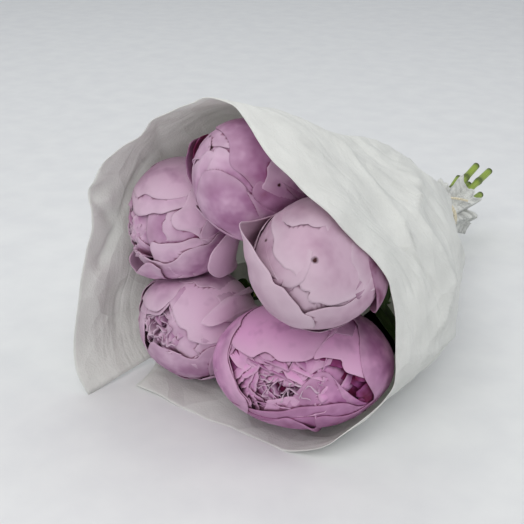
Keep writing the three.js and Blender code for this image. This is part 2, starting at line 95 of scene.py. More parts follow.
# ---- the bunch's own frame -----------------------------------------------------------
# Millimetres, with Y = 0 in the plane of the bloom centres and Z = 0 on the table. The
# mouth faces -Y. Angles round the roll start at the top and run clockwise as seen from
# the mouth.
ORIGIN = np.array((8.3, 171.2, 0.0))
NECK = np.array((-5.0, 300.0, 44.0))
NECK_RADIUS = 15
NECK_HALF = 5
TAIL_Y = 331
SECTIONS = (
    # y, middle x, middle z, radius every 45 degrees
    (-65, 5, 105, (114, 106, 106, 122, 107, 137, 92, 106)),
    (0, 5, 105, (109, 103, 109, 125, 107, 133, 90, 102)),
    (60, 7, 101, (89, 89, 111, 120, 103, 122, 86, 86)),
    (110, 8, 92, (76, 87, 97, 112, 94, 104, 76, 73)),
    (160, 7, 78, (67, 71, 76, 85, 80, 82, 62, 59)),
    (210, 3, 62, (45, 46, 53, 62, 58, 54, 44, 42)),
    (260, -2, 49, (28, 29, 31, 33, 34, 32, 28, 27)),
    (NECK[1] - NECK_HALF, NECK[0], NECK[2], (NECK_RADIUS,) * 8),
    (NECK[1] + NECK_HALF, NECK[0], NECK[2], (NECK_RADIUS,) * 8),
    (315, -6, 44, (18,) * 8),
    (334, -7, 45, (26,) * 8),
)
FLAP_ANGLE = 222
SEAM_ANGLE_MOUTH = 575
SEAM_ANGLE_DEEP = 602
SEAM_DEEP_Y = 80
# The sheet's last part slips in under its first by this much, between these two angles.
LAP_INSET = 2.4
LAP_ANGLES = (545, 578)
MOUTH_EDGE = (
    (222, -63), (242, -60), (262, -57), (282, -55), (302, -53), (322, -40), (342, -33), (355, -23),
    (365, -24), (380, -36), (392, -37), (402, -33), (412, -26), (422, -14), (432, 0), (445, 7),
    (460, 7), (472, 12), (481, 13), (492, -16), (505, -26), (530, -31), (575, -35),
)
# How far the mouth's rim leans out at each angle, and how deep the lean reaches.
MOUTH_LEAN = (
    (222, 5), (229, 3), (236, 1.5), (245, -3), (256, -1), (268, 0.5), (280, -1), (287, -2.5), (294, -5),
    (297, -2), (300, 1.5), (305, -1), (313, -1), (320, -2.5), (328, -5), (332, -3), (335, -0.5), (342, 0),
    (347, 1.5), (351, 2), (355, 4.5), (360, 5), (369, 5), (380, 1.5), (392, 0), (575, 0),
)
LEAN_DEPTH = 38
PLEATS = 8
PLEAT_DEPTH = 1.2
PLEATS_FROM_Y = 120
# The flowers hold the sheet out, so it dents inwards by this much at most.
MOST_DENT = 1.5
# Points round the mouth, from the mouth to the neck, and from the neck to the tail.
PAPER_GRID = (230, 150, 20)
# Creases in the sheet: (angle, y) at both ends, height in mm (a valley below 0), half width.
CREASES = (
    (366, 20, 424, 84, 1.5, 11), (380, 44, 440, 38, 1.6, 12), (406, 2, 442, 42, -1.1, 8),
    (448, 84, 463, 50, 2.4, 15), (408, 98, 421, 62, 2.6, 14), (396, 78, 386, 118, -1.8, 9),
    (384, 66, 400, 92, -2.2, 8), (420, 56, 443, 76, 1.3, 9), (446, 11, 468, 36, -1.3, 9),
    (430, 96, 452, 150, 1.6, 13), (404, 120, 420, 190, 1.8, 12), (376, 90, 384, 170, 1.5, 12),
    (470, 40, 478, 130, 1.6, 12), (278, -31, 262, -43, 2.4, 13), (262, -43, 246, -38, -2.0, 10),
    (248, -16, 236, -20, 2.0, 14), (296, -52, 284, -32, 2.6, 12), (306, -4, 284, -24, 1.8, 12),
    (330, -20, 300, 20, 1.8, 15), (270, 10, 262, 90, -1.5, 14), (350, 40, 352, 130, 1.3, 14),
    (290, 40, 300, 150, 1.5, 14), (240, 60, 246, 170, 1.4, 12), (322, 90, 330, 200, 1.6, 12),
)

# ---- the blooms ----------------------------------------------------------------------
# Room left between two blooms, to the sheet and to the table, and how soon they give way.
BLOOM_GAP = 0.25
PRESS_DEPTH = 7
WALL_CLEARANCE = 2.5
FLOOR_CLEARANCE = 5


def unit(v):
    v = np.asarray(v, float)
    return v / np.linalg.norm(v)


class Bloom:
    """A bloom's own frame: its centre, its three half sizes and the way it opens."""

    def __init__(self, name, at, axis, wide, tall, reach):
        self.name = name
        self.centre = np.array(at, float)
        self.axis = unit(axis)
        self.up = unit(np.array((0, 0, 1.0)) - self.axis[2] * self.axis)
        self.right = np.cross(self.up, self.axis)
        self.wide = wide
        self.tall = tall
        self.reach = reach

    def half_size_along(self, direction):
        sizes = (self.wide * self.right @ direction, self.tall * self.up @ direction,
                 self.reach * self.axis @ direction)
        return math.hypot(*sizes)

    def point(self, turn, alpha, side, off):
        """Points above the bloom: alpha runs from the stem (0) to the opening (180)."""
        t, a, s = np.radians(turn), np.radians(alpha), np.radians(side)
        up = np.cos(s) * np.sin(a) * np.cos(t) - np.sin(s) * np.sin(t)
        right = np.cos(s) * np.sin(a) * np.sin(t) + np.sin(s) * np.cos(t)
        out = -np.cos(s) * np.cos(a)
        return (self.centre + (up * (self.tall + off))[..., None] * self.up
                + (right * (self.wide + off))[..., None] * self.right
                + (out * (self.reach + off))[..., None] * self.axis)


BLOOMS = {
    b.name: b for b in (
        Bloom("front", (52, 2, 49.3), (0.54, -0.84, -0.08), 58, 39, 44),
        Bloom("right", (73, -14, 134.6), (0.22, -0.95, -0.18), 38.8, 36.6, 43),
        Bloom("top", (13.5, 1, 168), (-0.38, -0.70, 0.60), 32, 37.5, 42),
        Bloom("left", (-57, 6, 122.3), (-0.21, -0.98, 0), 38, 42.5, 38),
        Bloom("low", (-42, 3.5, 48), (0.10, -0.98, 0.12), 42, 39.5, 40),
    )
}

# Petals with a rim of their own, outermost first: the side they stand on (0 is up, 90 the
# viewer's right), how far out they lie, how much their rim flares and waves, how torn it
# is, and their tone from deep (0) to pale (1). The rim's points are the angle off the
# petal's middle line, the angle from the stem, and how far the rim is lifted there.
# The tone is partly each petal's own colour and partly painted light and shade: it was set lighter on petals
# that neighbours shade and darker on petals where shade falls, as on the dark petals in the recesses of the
# front and right blooms.
RIM_KEYS = ("turn", "layer", "flare", "wave", "torn", "tone", "rim")
RIMMED = {
    "front": (
        (165, 4.4, 0.6, 0.3, 0.3, 0.24, ((-60, 130), (-39, 146), (-22, 153), (-10, 164), (-5, 162),
            (-1, 143), (1, 152, 2), (5, 158), (11, 167), (24, 158), (44, 140), (60, 120))),
        (175, 3.4, 0.6, 0.4, 0.5, 0.16, ((-68, 121), (-48, 133), (-33, 141), (-26, 141), (-17, 161),
            (-6, 166), (7, 163), (19, 159), (33, 156), (43, 160), (62, 140))),
        (170, 2.2, 0.4, 0.5, 0.6, 0.30, ((-64, 132), (-49, 141), (-37, 157), (-27, 174), (-13, 177),
            (0, 177), (13, 172), (25, 170), (39, 166), (50, 160), (68, 120))),
        (95, 4.8, 0.6, 0.4, 0.3, 0.45, ((-65, 85), (-60, 100), (-56, 114), (-44, 132), (-26, 138),
            (5, 126), (24, 120), (26, 132), (34, 132), (46, 118))),
        (50, 3.2, 0.3, 0.4, 0.5, 1.25, ((-20, 84), (-24, 102), (-27, 114), (-29, 127), (-28, 139),
            (-25, 144), (-22, 139), (-16, 135), (-12, 133), (-9, 136), (-4, 138), (3, 136), (9, 134),
            (22, 128), (37, 114))),
        (350, 2.0, 0.3, 0.4, 0.4, 1.15, ((-51, 85), (-43, 105), (-40, 118), (-33, 127), (-24, 135),
            (-20, 133), (-15, 131), (-11, 134), (-7, 139), (0, 140), (9, 140), (15, 137), (25, 129),
            (37, 114))),
        (265, 4.2, 0.8, 0.4, 0.3, 0.75, ((-40, 128), (-16, 143), (-2, 145), (4, 141), (14, 136),
            (22, 129), (30, 119), (39, 112), (52, 96))),
        (270, 1.6, 0.2, 0.4, 0.4, 0.80, ((-38, 134), (-24, 145), (-7, 146), (0, 141), (9, 135), (18, 128),
            (25, 119), (33, 113), (44, 93))),
        (300, -1.2, 0.2, 0.8, 0.8, 0.98, ((-2, 126), (1, 138), (4, 142), (9, 138), (14, 128), (14, 116))),
        (20, -1.6, 0.0, 0.8, 0.8, 0.72, ((-18, 139), (-17, 155), (-16, 168), (-11, 167), (-6, 159),
            (-3, 149), (5, 138))),
        (150, -1.0, 0.0, 0.5, 0.4, 0.45, ((-17, 140), (-22, 158), (-27, 174), (-30, 188), (-30, 199),
            (-25, 203), (-17, 199), (-8, 194), (1, 188), (13, 176), (24, 160), (32, 140))),
        (330, -2.4, 0.0, 1.0, 0.8, 0.86, ((-13, 130), (-7, 144), (0, 148), (7, 146), (14, 141),
            (19, 131))),
        (92, -7.0, 0.0, 0.8, 0.6, -0.35, ((-40, 145), (-28, 155), (-18, 147), (-7, 138), (6, 134),
            (30, 132), (30, 129))),
        (290, -3.4, 0.0, 0.3, 0.3, -0.40, ((2, 108), (5, 114), (10, 112), (14, 113), (15, 118), (11, 127),
            (4, 136))),
        (190, -1.0, 0.2, 0.5, 0.6, 0.90, ((-30, 170), (-16, 182), (-9, 179), (-2, 182), (6, 186), (20, 176))),
    ),
    "right": (
        (95, 2.0, 1.0, 0.5, 0.3, -0.20, ((-26, 82, 3), (-14, 90, 5), (0, 93, 6), (14, 94, 6), (26, 95, 6),
            (34, 94, 5), (40, 88, 3))),
        (245, 4.4, 0.8, 0.3, 0.3, 0.86, ((-33, 183), (-27, 188), (-17, 191), (-11, 187), (-2, 187),
            (8, 185, 0.6), (16, 183, 1), (21, 176, 1.4), (29, 174, 2), (38, 168, 5), (48, 157, 8),
            (53, 143, 11), (56, 128, 13), (58, 116, 15), (51, 106, 14), (44, 92, 12))),
        (130, 3.4, 0.6, 0.3, 0.6, 0.55, ((-40, 86), (-34, 101), (-29, 114), (-28, 122), (-23, 136),
            (-18, 154), (-8, 163), (-3, 165), (5, 163), (16, 160), (36, 156), (44, 150))),
        (50, 2.0, 0.5, 0.3, 1.0, 0.92, ((-89, 180), (-79, 175), (-66, 169), (-56, 166), (-47, 171),
            (-39, 170), (-34, 167), (-28, 165), (-24, 161), (-20, 160), (-14, 160), (-9, 161), (-5, 162),
            (0, 157), (3, 162), (8, 163), (12, 159), (20, 156), (33, 140), (42, 125), (51, 109),
            (59, 88))),
        (310, 0.6, 0.2, 0.4, 0.5, 0.74, ((-34, 126), (-29, 121), (-12, 135), (-2, 146), (3, 153),
            (7, 160), (7, 167), (15, 172), (26, 172), (40, 162), (54, 134))),
        (252, -0.8, 0.4, 0.6, 0.8, 0.35, ((10, 163), (18, 176), (22, 179), (23, 186), (20, 192),
            (14, 187), (7, 173))),
        (200, -0.6, 0.0, 0.3, 0.4, 0.80, ((-62, 150), (-43, 169), (-24, 194), (-1, 203), (28, 201),
            (61, 155), (54, 168), (66, 130))),
        (101, -1.6, 1.6, 1.2, 1.0, 0.02, ((-17, 106), (-9, 114), (-1, 115, 1), (8, 106), (14, 100),
            (24, 92), (30, 84))),
    ),
    "top": (
        (135, 3.6, 0.5, 0.3, 0.2, 0.42, ((-37, 72), (-21, 87), (-27, 104), (-30, 116), (-32, 125),
            (-29, 135), (-22, 145), (-16, 150), (-8, 153), (0, 154), (6, 151), (15, 146), (31, 136),
            (42, 120))),
        (60, 2.4, 0.4, 0.3, 0.3, 0.25, ((-43, 160), (-37, 181), (-29, 187), (-14, 162), (-4, 151),
            (5, 147), (14, 145), (20, 140), (24, 129), (30, 119), (36, 110), (44, 100), (52, 87))),
        (100, 3.0, 0.3, 0.3, 0.3, 0.20, ((-18, 74), (-21, 86), (-23, 93), (-22, 102), (-16, 110),
            (-8, 113), (-1, 111), (8, 102))),
        (255, 1.4, 0.2, 0.5, 0.5, 0.45, ((-36, 153), (-21, 155), (-11, 174), (-10, 189), (-1, 192),
            (7, 187), (13, 180), (22, 164), (40, 160))),
        (185, 1.0, 0.2, 0.6, 0.6, 0.60, ((-43, 163), (-33, 175), (-23, 182), (-13, 183), (-8, 176),
            (1, 165), (15, 155), (16, 150))),
        (125, 0.4, 0.2, 0.6, 0.6, 0.60, ((-37, 135), (-28, 153), (-24, 164), (-19, 169), (-14, 169),
            (-9, 162), (0, 154), (19, 147))),
        (20, 0.8, 0.0, 0.5, 0.6, 0.62, ((-44, 140), (-30, 164), (-21, 183), (-18, 189), (-2, 179),
            (21, 157))),
        (275, 2.0, 1.0, 0.5, 0.4, -0.40, ((-46, 112, 4), (-40, 122, 4), (-28, 128, 4),
            (-14, 136, 5), (-2, 142, 5), (6, 132, 4))),
        (275, 3.0, 1.0, 0.5, 0.3, 0.05, ((-48, 106, 7), (-42, 118, 8), (-34, 126, 8), (-25, 133, 8),
            (-15, 139, 8), (-7, 140, 8), (0, 130, 7))),
    ),
    "left": (
        (10, 4.0, 0.4, 0.3, 0.3, 1.05, ((-52, 122), (-36, 138), (-9, 148), (0, 141), (12, 139), (23, 132),
            (31, 122), (35, 110), (40, 94))),
        (10, 2.6, 0.4, 0.4, 0.4, 0.96, ((-44, 134), (-12, 157), (-7, 161), (2, 161), (11, 156), (17, 151),
            (27, 146), (34, 136), (38, 129), (41, 118), (45, 100))),
        (75, 3.2, 0.5, 0.4, 0.4, 1.10, ((-37, 97), (-29, 108), (-18, 118), (-13, 129), (-7, 132),
            (0, 129), (3, 121), (6, 114), (15, 103), (20, 93), (30, 80))),
        (120, 2.0, 0.3, 0.6, 0.7, 0.90, ((-36, 80), (-25, 94), (-29, 105), (-30, 117), (-23, 130),
            (-19, 140), (-13, 150), (-10, 157), (-3, 157), (10, 150), (22, 139))),
        (140, 3.4, 0.8, 0.4, 0.4, 0.68, ((-52, 88), (-45, 101), (-41, 116), (-32, 129), (-22, 132),
            (-12, 136), (-5, 142), (2, 147), (8, 145), (40, 128))),
        (205, 4.6, 2.2, 0.5, 0.4, 0.62, ((-38, 163), (-29, 167), (-25, 167, 2), (-4, 132, 5), (4, 124, 8),
            (14, 132, 6), (26, 128, 3), (40, 112))),
        (50, 0.2, 0.0, 0.4, 0.4, 0.42, ((-25, 130), (-9, 150), (2, 160), (15, 167), (27, 161), (38, 146),
            (46, 125))),
        (300, 1.0, 0.4, 0.8, 0.8, 0.84, ((-36, 130), (-20, 142), (-4, 146), (12, 144), (31, 150),
            (49, 139))),
        (185, 1.2, 0.4, 0.9, 0.9, 0.92, ((-45, 142), (-28, 156), (-12, 160), (4, 158), (18, 150),
            (34, 136))),
        (100, 3.0, 1.0, 0.4, 0.3, 1.35, ((-16, 84, 9), (-10, 96, 10), (-3, 103, 11), (8, 104, 11),
            (17, 98, 11), (25, 86, 12), (28, 74, 12))),
    ),
    "low": (
        (57, 3.6, 1.2, 0.5, 0.4, 1.15, ((-6, 74, 3), (-8, 92, 4), (-11, 106, 5), (-9, 119, 5), (-5, 131, 5),
            (-1, 138, 5), (4, 134, 5), (6, 128, 5), (8, 119, 5), (12, 110, 4), (18, 96, 3))),
        (50, 2.8, 0.4, 0.3, 0.3, 1.25, ((-57, 103), (-50, 124), (-38, 140), (-28, 152), (-21, 156),
            (-12, 158), (-2, 158), (4, 154), (12, 157), (18, 152), (24, 146), (29, 132), (39, 112))),
        (335, 3.6, 0.6, 0.4, 0.4, 0.90, ((-46, 116), (-17, 145), (-10, 150), (-1, 153), (6, 151),
            (12, 146), (18, 140), (22, 127), (28, 109))),
        (160, 2.4, 0.6, 0.5, 0.4, 0.45, ((-62, 122), (-54, 148), (-43, 158), (-32, 156), (-24, 151),
            (-17, 155), (-11, 162), (-5, 167), (5, 172), (14, 178), (29, 167), (48, 150))),
        (110, 3.6, 0.4, 0.4, 0.3, 0.35, ((-54, 98), (-37, 111), (-21, 125), (-5, 131), (14, 128),
            (40, 111))),
        (325, 1.4, 0.3, 0.6, 0.6, 0.72, ((-42, 126), (-18, 148), (-7, 153), (6, 157), (14, 153),
            (22, 145), (30, 127))),
        (262, 2.0, 0.6, 0.6, 0.5, 0.60, ((-44, 128), (-28, 144), (-9, 151), (10, 152), (29, 149),
            (46, 146))),
        (70, -1.4, 0.0, 0.7, 0.6, 0.75, ((-48, 142), (-32, 164), (-12, 173), (5, 174), (20, 169),
            (36, 155))),
    ),
}

# The other petals, whose rim is one blunt arc: the side they stand on, the angle they
# close to, half width in degrees, and the rest as above.
# As above, the tone is partly painted light and shade. The two deepest rows of each open bloom are dark
# crimson sheets under the heart, whose dark tone partly paints the shade in the gaps.
ARC_KEYS = ("turn", "to", "half", "layer", "flare", "wave", "torn", "tone")
ARCED = {
    "front": (
        (10, 112, 44, 1.0, 0.0, 0.5, 0.6, 0.50), (70, 110, 42, 0.9, 0.3, 0.5, 0.6, 0.45),
        (120, 120, 44, 0.8, 0.6, 0.8, 0.8, 0.40), (180, 130, 46, 0.7, 0.6, 0.8, 0.8, 0.50),
        (230, 128, 44, 0.6, 0.4, 0.8, 0.8, 0.55), (290, 116, 44, 0.5, 0.2, 0.8, 0.8, 0.55),
        (40, 140, 40, -1.4, 0.0, 1.0, 1.2, -0.35), (88, 138, 36, -2.0, 0.0, 1.2, 1.4, -0.40),
        (135, 148, 38, -2.4, 0.0, 1.2, 1.4, -0.10), (205, 158, 38, -2.6, 0.0, 1.4, 1.4, 0.70),
        (248, 142, 36, -2.8, 0.0, 1.4, 1.4, 0.62), (292, 134, 34, -3.0, 0.0, 1.4, 1.4, -0.35),
        (338, 138, 36, -3.2, 0.0, 1.4, 1.4, 0.70),
        (20, 188, 64, -11.0, 0.0, 0.6, 0.4, -0.40), (200, 158, 60, -12.0, 0.0, 0.6, 0.4, -0.40),
    ),
    "right": (
        (180, 124, 46, 3.0, 0.8, 0.7, 0.8, 0.30), (0, 112, 44, 1.2, 0.2, 0.6, 0.8, 0.70),
        (90, 108, 44, 1.0, 0.4, 0.6, 0.8, 0.62), (270, 120, 44, 1.4, 0.4, 0.6, 0.8, 0.66),
        (120, 150, 44, -1.4, 0.0, 0.8, 1.0, 0.60), (20, 176, 50, -1.8, 0.0, 0.8, 1.0, 0.60),
        (280, 178, 50, -2.2, 0.0, 0.8, 1.0, 0.58), (140, 186, 50, -2.6, 0.0, 0.8, 1.0, 0.55),
        (230, 192, 50, -3.0, 0.0, 0.8, 1.0, 0.55),
    ),
    "top": (
        (200, 118, 46, 2.8, 0.8, 0.7, 0.8, 0.62), (260, 116, 44, 2.4, 0.8, 0.8, 0.8, 0.55),
        (320, 120, 46, 2.0, 0.4, 0.7, 0.8, 0.60), (20, 118, 46, 1.4, 0.2, 0.6, 0.8, 0.55),
        (80, 110, 44, 0.9, 0.2, 0.6, 0.8, 0.48), (300, 160, 50, -0.6, 0.0, 0.8, 1.0, 0.60),
        (60, 184, 54, -1.4, 0.0, 0.8, 1.0, 0.58), (180, 188, 54, -1.8, 0.0, 0.8, 1.0, 0.62),
        (300, 192, 54, -2.2, 0.0, 0.8, 1.0, 0.56),
    ),
    "left": (
        (60, 112, 44, 1.0, 0.3, 0.6, 0.8, 0.60), (110, 112, 42, 0.9, 0.4, 0.7, 0.8, 0.62),
        (160, 118, 42, 1.6, 0.8, 0.8, 0.8, 0.62), (258, 118, 42, 2.8, 1.2, 0.8, 0.8, 0.58),
        (310, 120, 44, 2.2, 0.8, 0.8, 0.8, 0.60), (0, 118, 44, 0.9, 0.2, 0.7, 0.8, 0.58),
        (90, 146, 38, -1.2, 0.0, 1.2, 1.2, 0.72), (140, 142, 36, -1.8, 0.0, 1.4, 1.4, 0.80),
        (232, 132, 36, -1.4, 0.0, 1.4, 1.4, 0.66), (276, 130, 36, -1.6, 0.0, 1.4, 1.4, 0.58),
        (330, 138, 36, -1.8, 0.0, 1.4, 1.4, 0.66), (20, 150, 38, -2.4, 0.0, 1.4, 1.4, 0.60),
        (90, 190, 64, -11.0, 0.0, 0.6, 0.4, -0.30), (270, 150, 60, -12.0, 0.0, 0.6, 0.4, -0.30),
    ),
    "low": (
        (50, 112, 44, 1.0, 0.2, 0.6, 0.8, 0.62), (110, 112, 42, 0.9, 0.4, 0.7, 0.8, 0.55),
        (160, 116, 42, 0.8, 0.8, 0.8, 0.8, 0.60), (212, 118, 42, 2.6, 1.4, 0.8, 0.8, 0.58),
        (290, 116, 42, 2.4, 1.0, 0.8, 0.8, 0.58), (0, 116, 44, 0.9, 0.4, 0.7, 0.8, 0.58),
        (20, 146, 38, -1.2, 0.0, 1.2, 1.2, 0.70), (118, 150, 38, -1.4, 0.0, 1.2, 1.2, 0.60),
        (168, 152, 36, -1.6, 0.0, 1.4, 1.4, 0.70), (222, 138, 36, -1.8, 0.0, 1.4, 1.4, 0.55),
        (268, 130, 36, -2.0, 0.0, 1.4, 1.4, 0.60), (314, 132, 36, -2.2, 0.0, 1.4, 1.4, 0.60),
        (60, 190, 64, -11.0, 0.0, 0.6, 0.4, -0.30), (240, 150, 60, -12.0, 0.0, 0.6, 0.4, -0.30),
    ),
}
# The ruffled heart of an open bloom: how many small petals, the middle and half size of
# the ring they fill (across and up, as shares of the bloom), how deep their feet stand
# and how tall they are, in mm.
HEARTS = {
    "front": (24, (-0.14, 0.24), (0.42, 0.28), 15, 14),
    "left": (10, (-0.30, 0.02), (0.26, 0.26), 15, 12),
    "low": (20, (-0.24, 0.14), (0.46, 0.34), 13, 13),
}
# The curled petals between an open bloom's rims and its heart: how many, and the middle
# and half size of the opening, as above.
CURLED = {
    "front": (38, (-0.18, 0.18), (0.50, 0.46)),
    "left": (22, (-0.30, 0.02), (0.44, 0.46)),
    "low": (22, (-0.26, 0.14), (0.58, 0.48)),
}
# Brown specks on the outer petals: place in the finished bunch and radius, in mm.
SPOTS = {
    "right": ((83.7, -215.6, 152.7, 1.9), (48.1, -214.3, 154.7, 1.3)),
    "top": ((34.8, -183.7, 176.2, 1.2), (-10.9, -192.6, 199.9, 1.1), (-4.7, -198.9, 195.2, 1.5)),
}
# Points across and along a petal of each kind.
PETAL_GRID = {"rimmed": (64, 26), "arced": (26, 26), "curled": (24, 14)}
LAYER_OUT, LAYER_IN = 0.33, 0.6
PETAL_FROM = 6
# Petals nearer than this, in mm, count towards a point's painted crevice shade.
CREVICE_SHADE_REACH = 11
# Small petals follow each other round the bloom by this angle, in degrees.
GOLDEN_ANGLE = 137.5
# The heart's petals: how many differ, how tall they are drawn, and points across and along.
RUFFLE_KINDS = 5
RUFFLE_HEIGHT = 15
RUFFLE_GRID = (15, 12)
SLOTS = {"front": "petals_deep", "right": "petals_pale", "top": "petals", "left": "petals", "low": "petals"}

# ---- the stems -----------------------------------------------------------------------
STEM_RADIUS = 3.25
STEM_PITCH = 6.8
RECEPTACLE_RADIUS = 8
RECEPTACLE_GAP = 4.8
# The receptacle, a shallow cup under the petals: distance behind its rim, and radius.
CUP = ((11, STEM_RADIUS), (8, 4.6), (5, 6.6), (2, 7.8), (0, RECEPTACLE_RADIUS))
# Nodes on a stem: place along it as a share, and how much it swells there.
STEM_NODES = ((0.47, 0.10), (0.70, 0.12), (0.93, 0.26))
STEM_POINTS, STEM_SIDES, CUP_SIDES, STALK_SIDES = 120, 18, 24, 8
# Points on a span of any curve, before they are spaced evenly.
SPAN_POINTS = 60
# A leaf leaves its stem at one of this many points.
LEAF_PLACES = 13
LEAF_GRID = (13, 30)
SEPALS = 5
SEPAL_OFFSET = 7.2
SEPAL_TURN = {"front": 56, "right": 91, "top": 46, "left": 76, "low": 36}
STEMS = {
    # bloom: place in the neck in degrees, cut end, leaf tip, where the leaf leaves
    "front": (135, (-8.5, 395, 36), (84, 84, 46), 110),
    "right": (60, (-6, 405, 59), (99, 40, 93), 86),
    "top": (345, (-11.5, 385, 69), (16, 62, 178), 112),
    "left": (270, (-22, 370, 58), (-56, 74, 128), 116),
    "low": (None, (-14, 377, 51), (-62, 84, 34), 118),
}

# ---- the twine -----------------------------------------------------------------------
TWIST_PER_METRE = 900.0
# Where the plies lie and how thick they are, as shares of the twine's radius.
PLY_OFFSET, PLY_RADIUS = 0.5, 0.56
TURN_POINTS = 90
# How far apart the turns lie, in twine thicknesses, over the whole winding.
TURNS_SPREAD = 1.9
# The rest of the tie, from the top of the winding: points in mm, or in radii for the knot.
KNOT = ((-3.2, -1.0, -0.6), (-1.5, -1.8, 0.9), (0.9, -1.0, 1.7), (1.7, 1.0, 0.8), (0, 2.0, 1.5),
        (-1.8, 0.9, 1.3), (-1.2, -1.1, 0.2), (1.0, -2.0, 0.8), (3.0, -1.0, -0.4))
LONG_END = ((0, 0, 0.4), (8, 3, 1.5), (15, 9, 0), (19, 16, -3))
SHORT_END = ((0, 0, 0.4), (-7, 4, 1.2), (-13, 10, -1.5), (-16, 16, -6))
KNOT_POINTS, END_POINTS = 60, 40

# ---- the stage -----------------------------------------------------------------------
# Metres and degrees, in the finished bunch's own place.
TABLE_HALF = 4.0
CAMERA_AT = (0.33598, -0.58749, 0.360)
CAMERA_TILT, CAMERA_TURN = 65, 38
CAMERA_LENS, CAMERA_SENSOR = 61.83, 36
LAMP_AIM = (0, -0.15, 0.1)
LAMPS = (
    # name, place, size, the setting with its power, colour
    ("key", (0.40, -1.1, 1.2), 1.1, "key", "#FFFDF8"),
    ("left fill", (-0.9, 0.1, 1.5), 1.3, "fill", "#FFFFFF"),
    ("right fill", (1.1, 0.5, 1.3), 1.1, "fill", "#FFFFFF"),
)


# ---- helpers -------------------------------------------------------------------------
def linear(hex_colour):
    """sRGB hex to the linear colour that Blender's sockets take."""
    values = [int(hex_colour[i:i + 2], 16) / 255 for i in (1, 3, 5)]
    return tuple(v / 12.92 if v <= 0.04045 else ((v + 0.055) / 1.055) ** 2.4 for v in values)


def rgba(colour):
    """A colour for a socket or a ramp, from sRGB hex or from a linear colour."""
    return (*(linear(colour) if isinstance(colour, str) else colour), 1)


def smooth(x, low, high):
    t = np.clip((np.asarray(x, float) - low) / (high - low), 0, 1)
    return t * t * (3 - 2 * t)


def through(xs, rows, at, columns=0):
    """Smooth curve through rows, one for each x, read at each value of at.

    A row is a number, or one number for each value of at. With columns, rows are vectors
    of that length, and the result has one array for each of them."""
    xs, rows = np.asarray(xs, float), np.asarray(rows, float)
    if columns:
        rows = rows.reshape(len(xs), columns)
        return [through(xs, rows[:, k], at) for k in range(columns)]
    at = np.clip(np.asarray(at, float), xs[0], xs[-1])
    i = np.clip(np.searchsorted(xs, at, "right") - 1, 0, len(xs) - 2)
    own = np.arange(at.size).reshape(at.shape)

    def value(k):
        return rows[k] if rows.ndim == 1 else rows.reshape(len(xs), -1)[k, own]

    def slope(k):
        a, b = np.maximum(k - 1, 0), np.minimum(k + 1, len(xs) - 1)
        return (value(b) - value(a)) / (xs[b] - xs[a])

    h = xs[i + 1] - xs[i]
    t = (at - xs[i]) / h
    return ((2 * t**3 - 3 * t**2 + 1) * value(i) + (t**3 - 2 * t**2 + t) * h * slope(i)
            + (3 * t**2 - 2 * t**3) * value(i + 1) + (t**3 - t**2) * h * slope(i + 1))


def around(radii, angle):
    """Smooth closed curve through eight radii."""
    radii = np.asarray(radii, float)
    k = np.mod(angle, 360) / 45
    i = np.floor(k).astype(int)
    t = k - i
    a, b, c, d = (radii[(i + o) % 8] for o in (-1, 0, 1, 2))
    return 0.5 * (2 * b + (c - a) * t + (2 * a - 5 * b + 4 * c - d) * t * t
                  + (3 * b - a - 3 * c + d) * t**3)


def column(table, k):
    return [row[k] for row in table]


def roll_middle(y):
    return [through(column(SECTIONS, 0), column(SECTIONS, k), y) for k in (1, 2)]


def roll_radius(angle, y):
    angle, y = np.broadcast_arrays(np.asarray(angle, float), np.asarray(y, float))
    return through(column(SECTIONS, 0), [around(radii, angle).ravel() for radii in column(SECTIONS, 3)], y)


def give_way(beyond):
    """How far a point moves back that lies so far beyond the border: softly, and never past it."""
    room = PRESS_DEPTH - BLOOM_GAP
    back = -PRESS_DEPTH + room * np.tanh((beyond + PRESS_DEPTH) / room) - beyond
    return np.where(beyond <= -PRESS_DEPTH, 0, back)


def inside_roll(p):
    """Pushes points back from the sheet and up from the table."""
    x, z = roll_middle(p[..., 1])
    dx, dz = p[..., 0] - x, p[..., 2] - z
    radius = np.hypot(dx, dz)
    limit = roll_radius(np.degrees(np.arctan2(dx, dz)), p[..., 1]) - WALL_CLEARANCE
    shrink = (radius + give_way(radius - limit)) / np.maximum(radius, 1)
    height = z + dz * shrink
    height = height - give_way(FLOOR_CLEARANCE - height) * 0.5
    return np.stack([x + dx * shrink, p[..., 1], np.maximum(height, FLOOR_CLEARANCE)], -1)


def pressed(p, bloom):
    """Pushes points back where a neighbour or the paper presses on the bloom."""
    p = np.array(p, float)
    for other in BLOOMS.values():
        if other is bloom:
            continue
        towards = other.centre - bloom.centre
        distance = np.linalg.norm(towards)
        towards = towards / distance
        mine = bloom.half_size_along(towards)
        border = distance * mine / (mine + other.half_size_along(towards))
        beyond = (p - bloom.centre) @ towards - border
        p = p + give_way(beyond)[..., None] * towards
    return inside_roll(p)


def to_row(points):
    """Points in the bunch's millimetres to one row of metres for each."""
    return (np.asarray(points, float).reshape(-1, 3) - ORIGIN) * MM


def linked(name, data):
    """An object of this data, in the scene."""
    made = bpy.data.objects.new(name, data)
    bpy.context.scene.collection.objects.link(made)
    return made


def new_object(name, rows, faces, edges=()):
    """A smooth mesh object from rows in metres."""
    mesh = bpy.data.meshes.new(name)
    mesh.from_pydata(rows.tolist(), edges, faces)
    mesh.polygons.foreach_set("use_smooth", [True] * len(mesh.polygons))
    return linked(name, mesh)


def shares(across, along):
    """A grid's share across, from -1 to 1, and along, from 0 to 1."""
    return np.linspace(-1, 1, across)[:, None], np.linspace(0, 1, along)[None, :]


def grid_faces(rows, cols, start=0, loop=False):
    faces = []
    for i in range(rows - 1):
        for j in range(cols if loop else cols - 1):
            k = (j + 1) % cols
            a, b = start + i * cols, start + (i + 1) * cols
            faces.append((a + j, a + k, b + k, b + j))
    return faces


def put_attribute(mesh, name, values):
    layer = mesh.attributes.new(name, "FLOAT", "POINT")
    layer.data.foreach_set("value", np.asarray(values, np.float32))


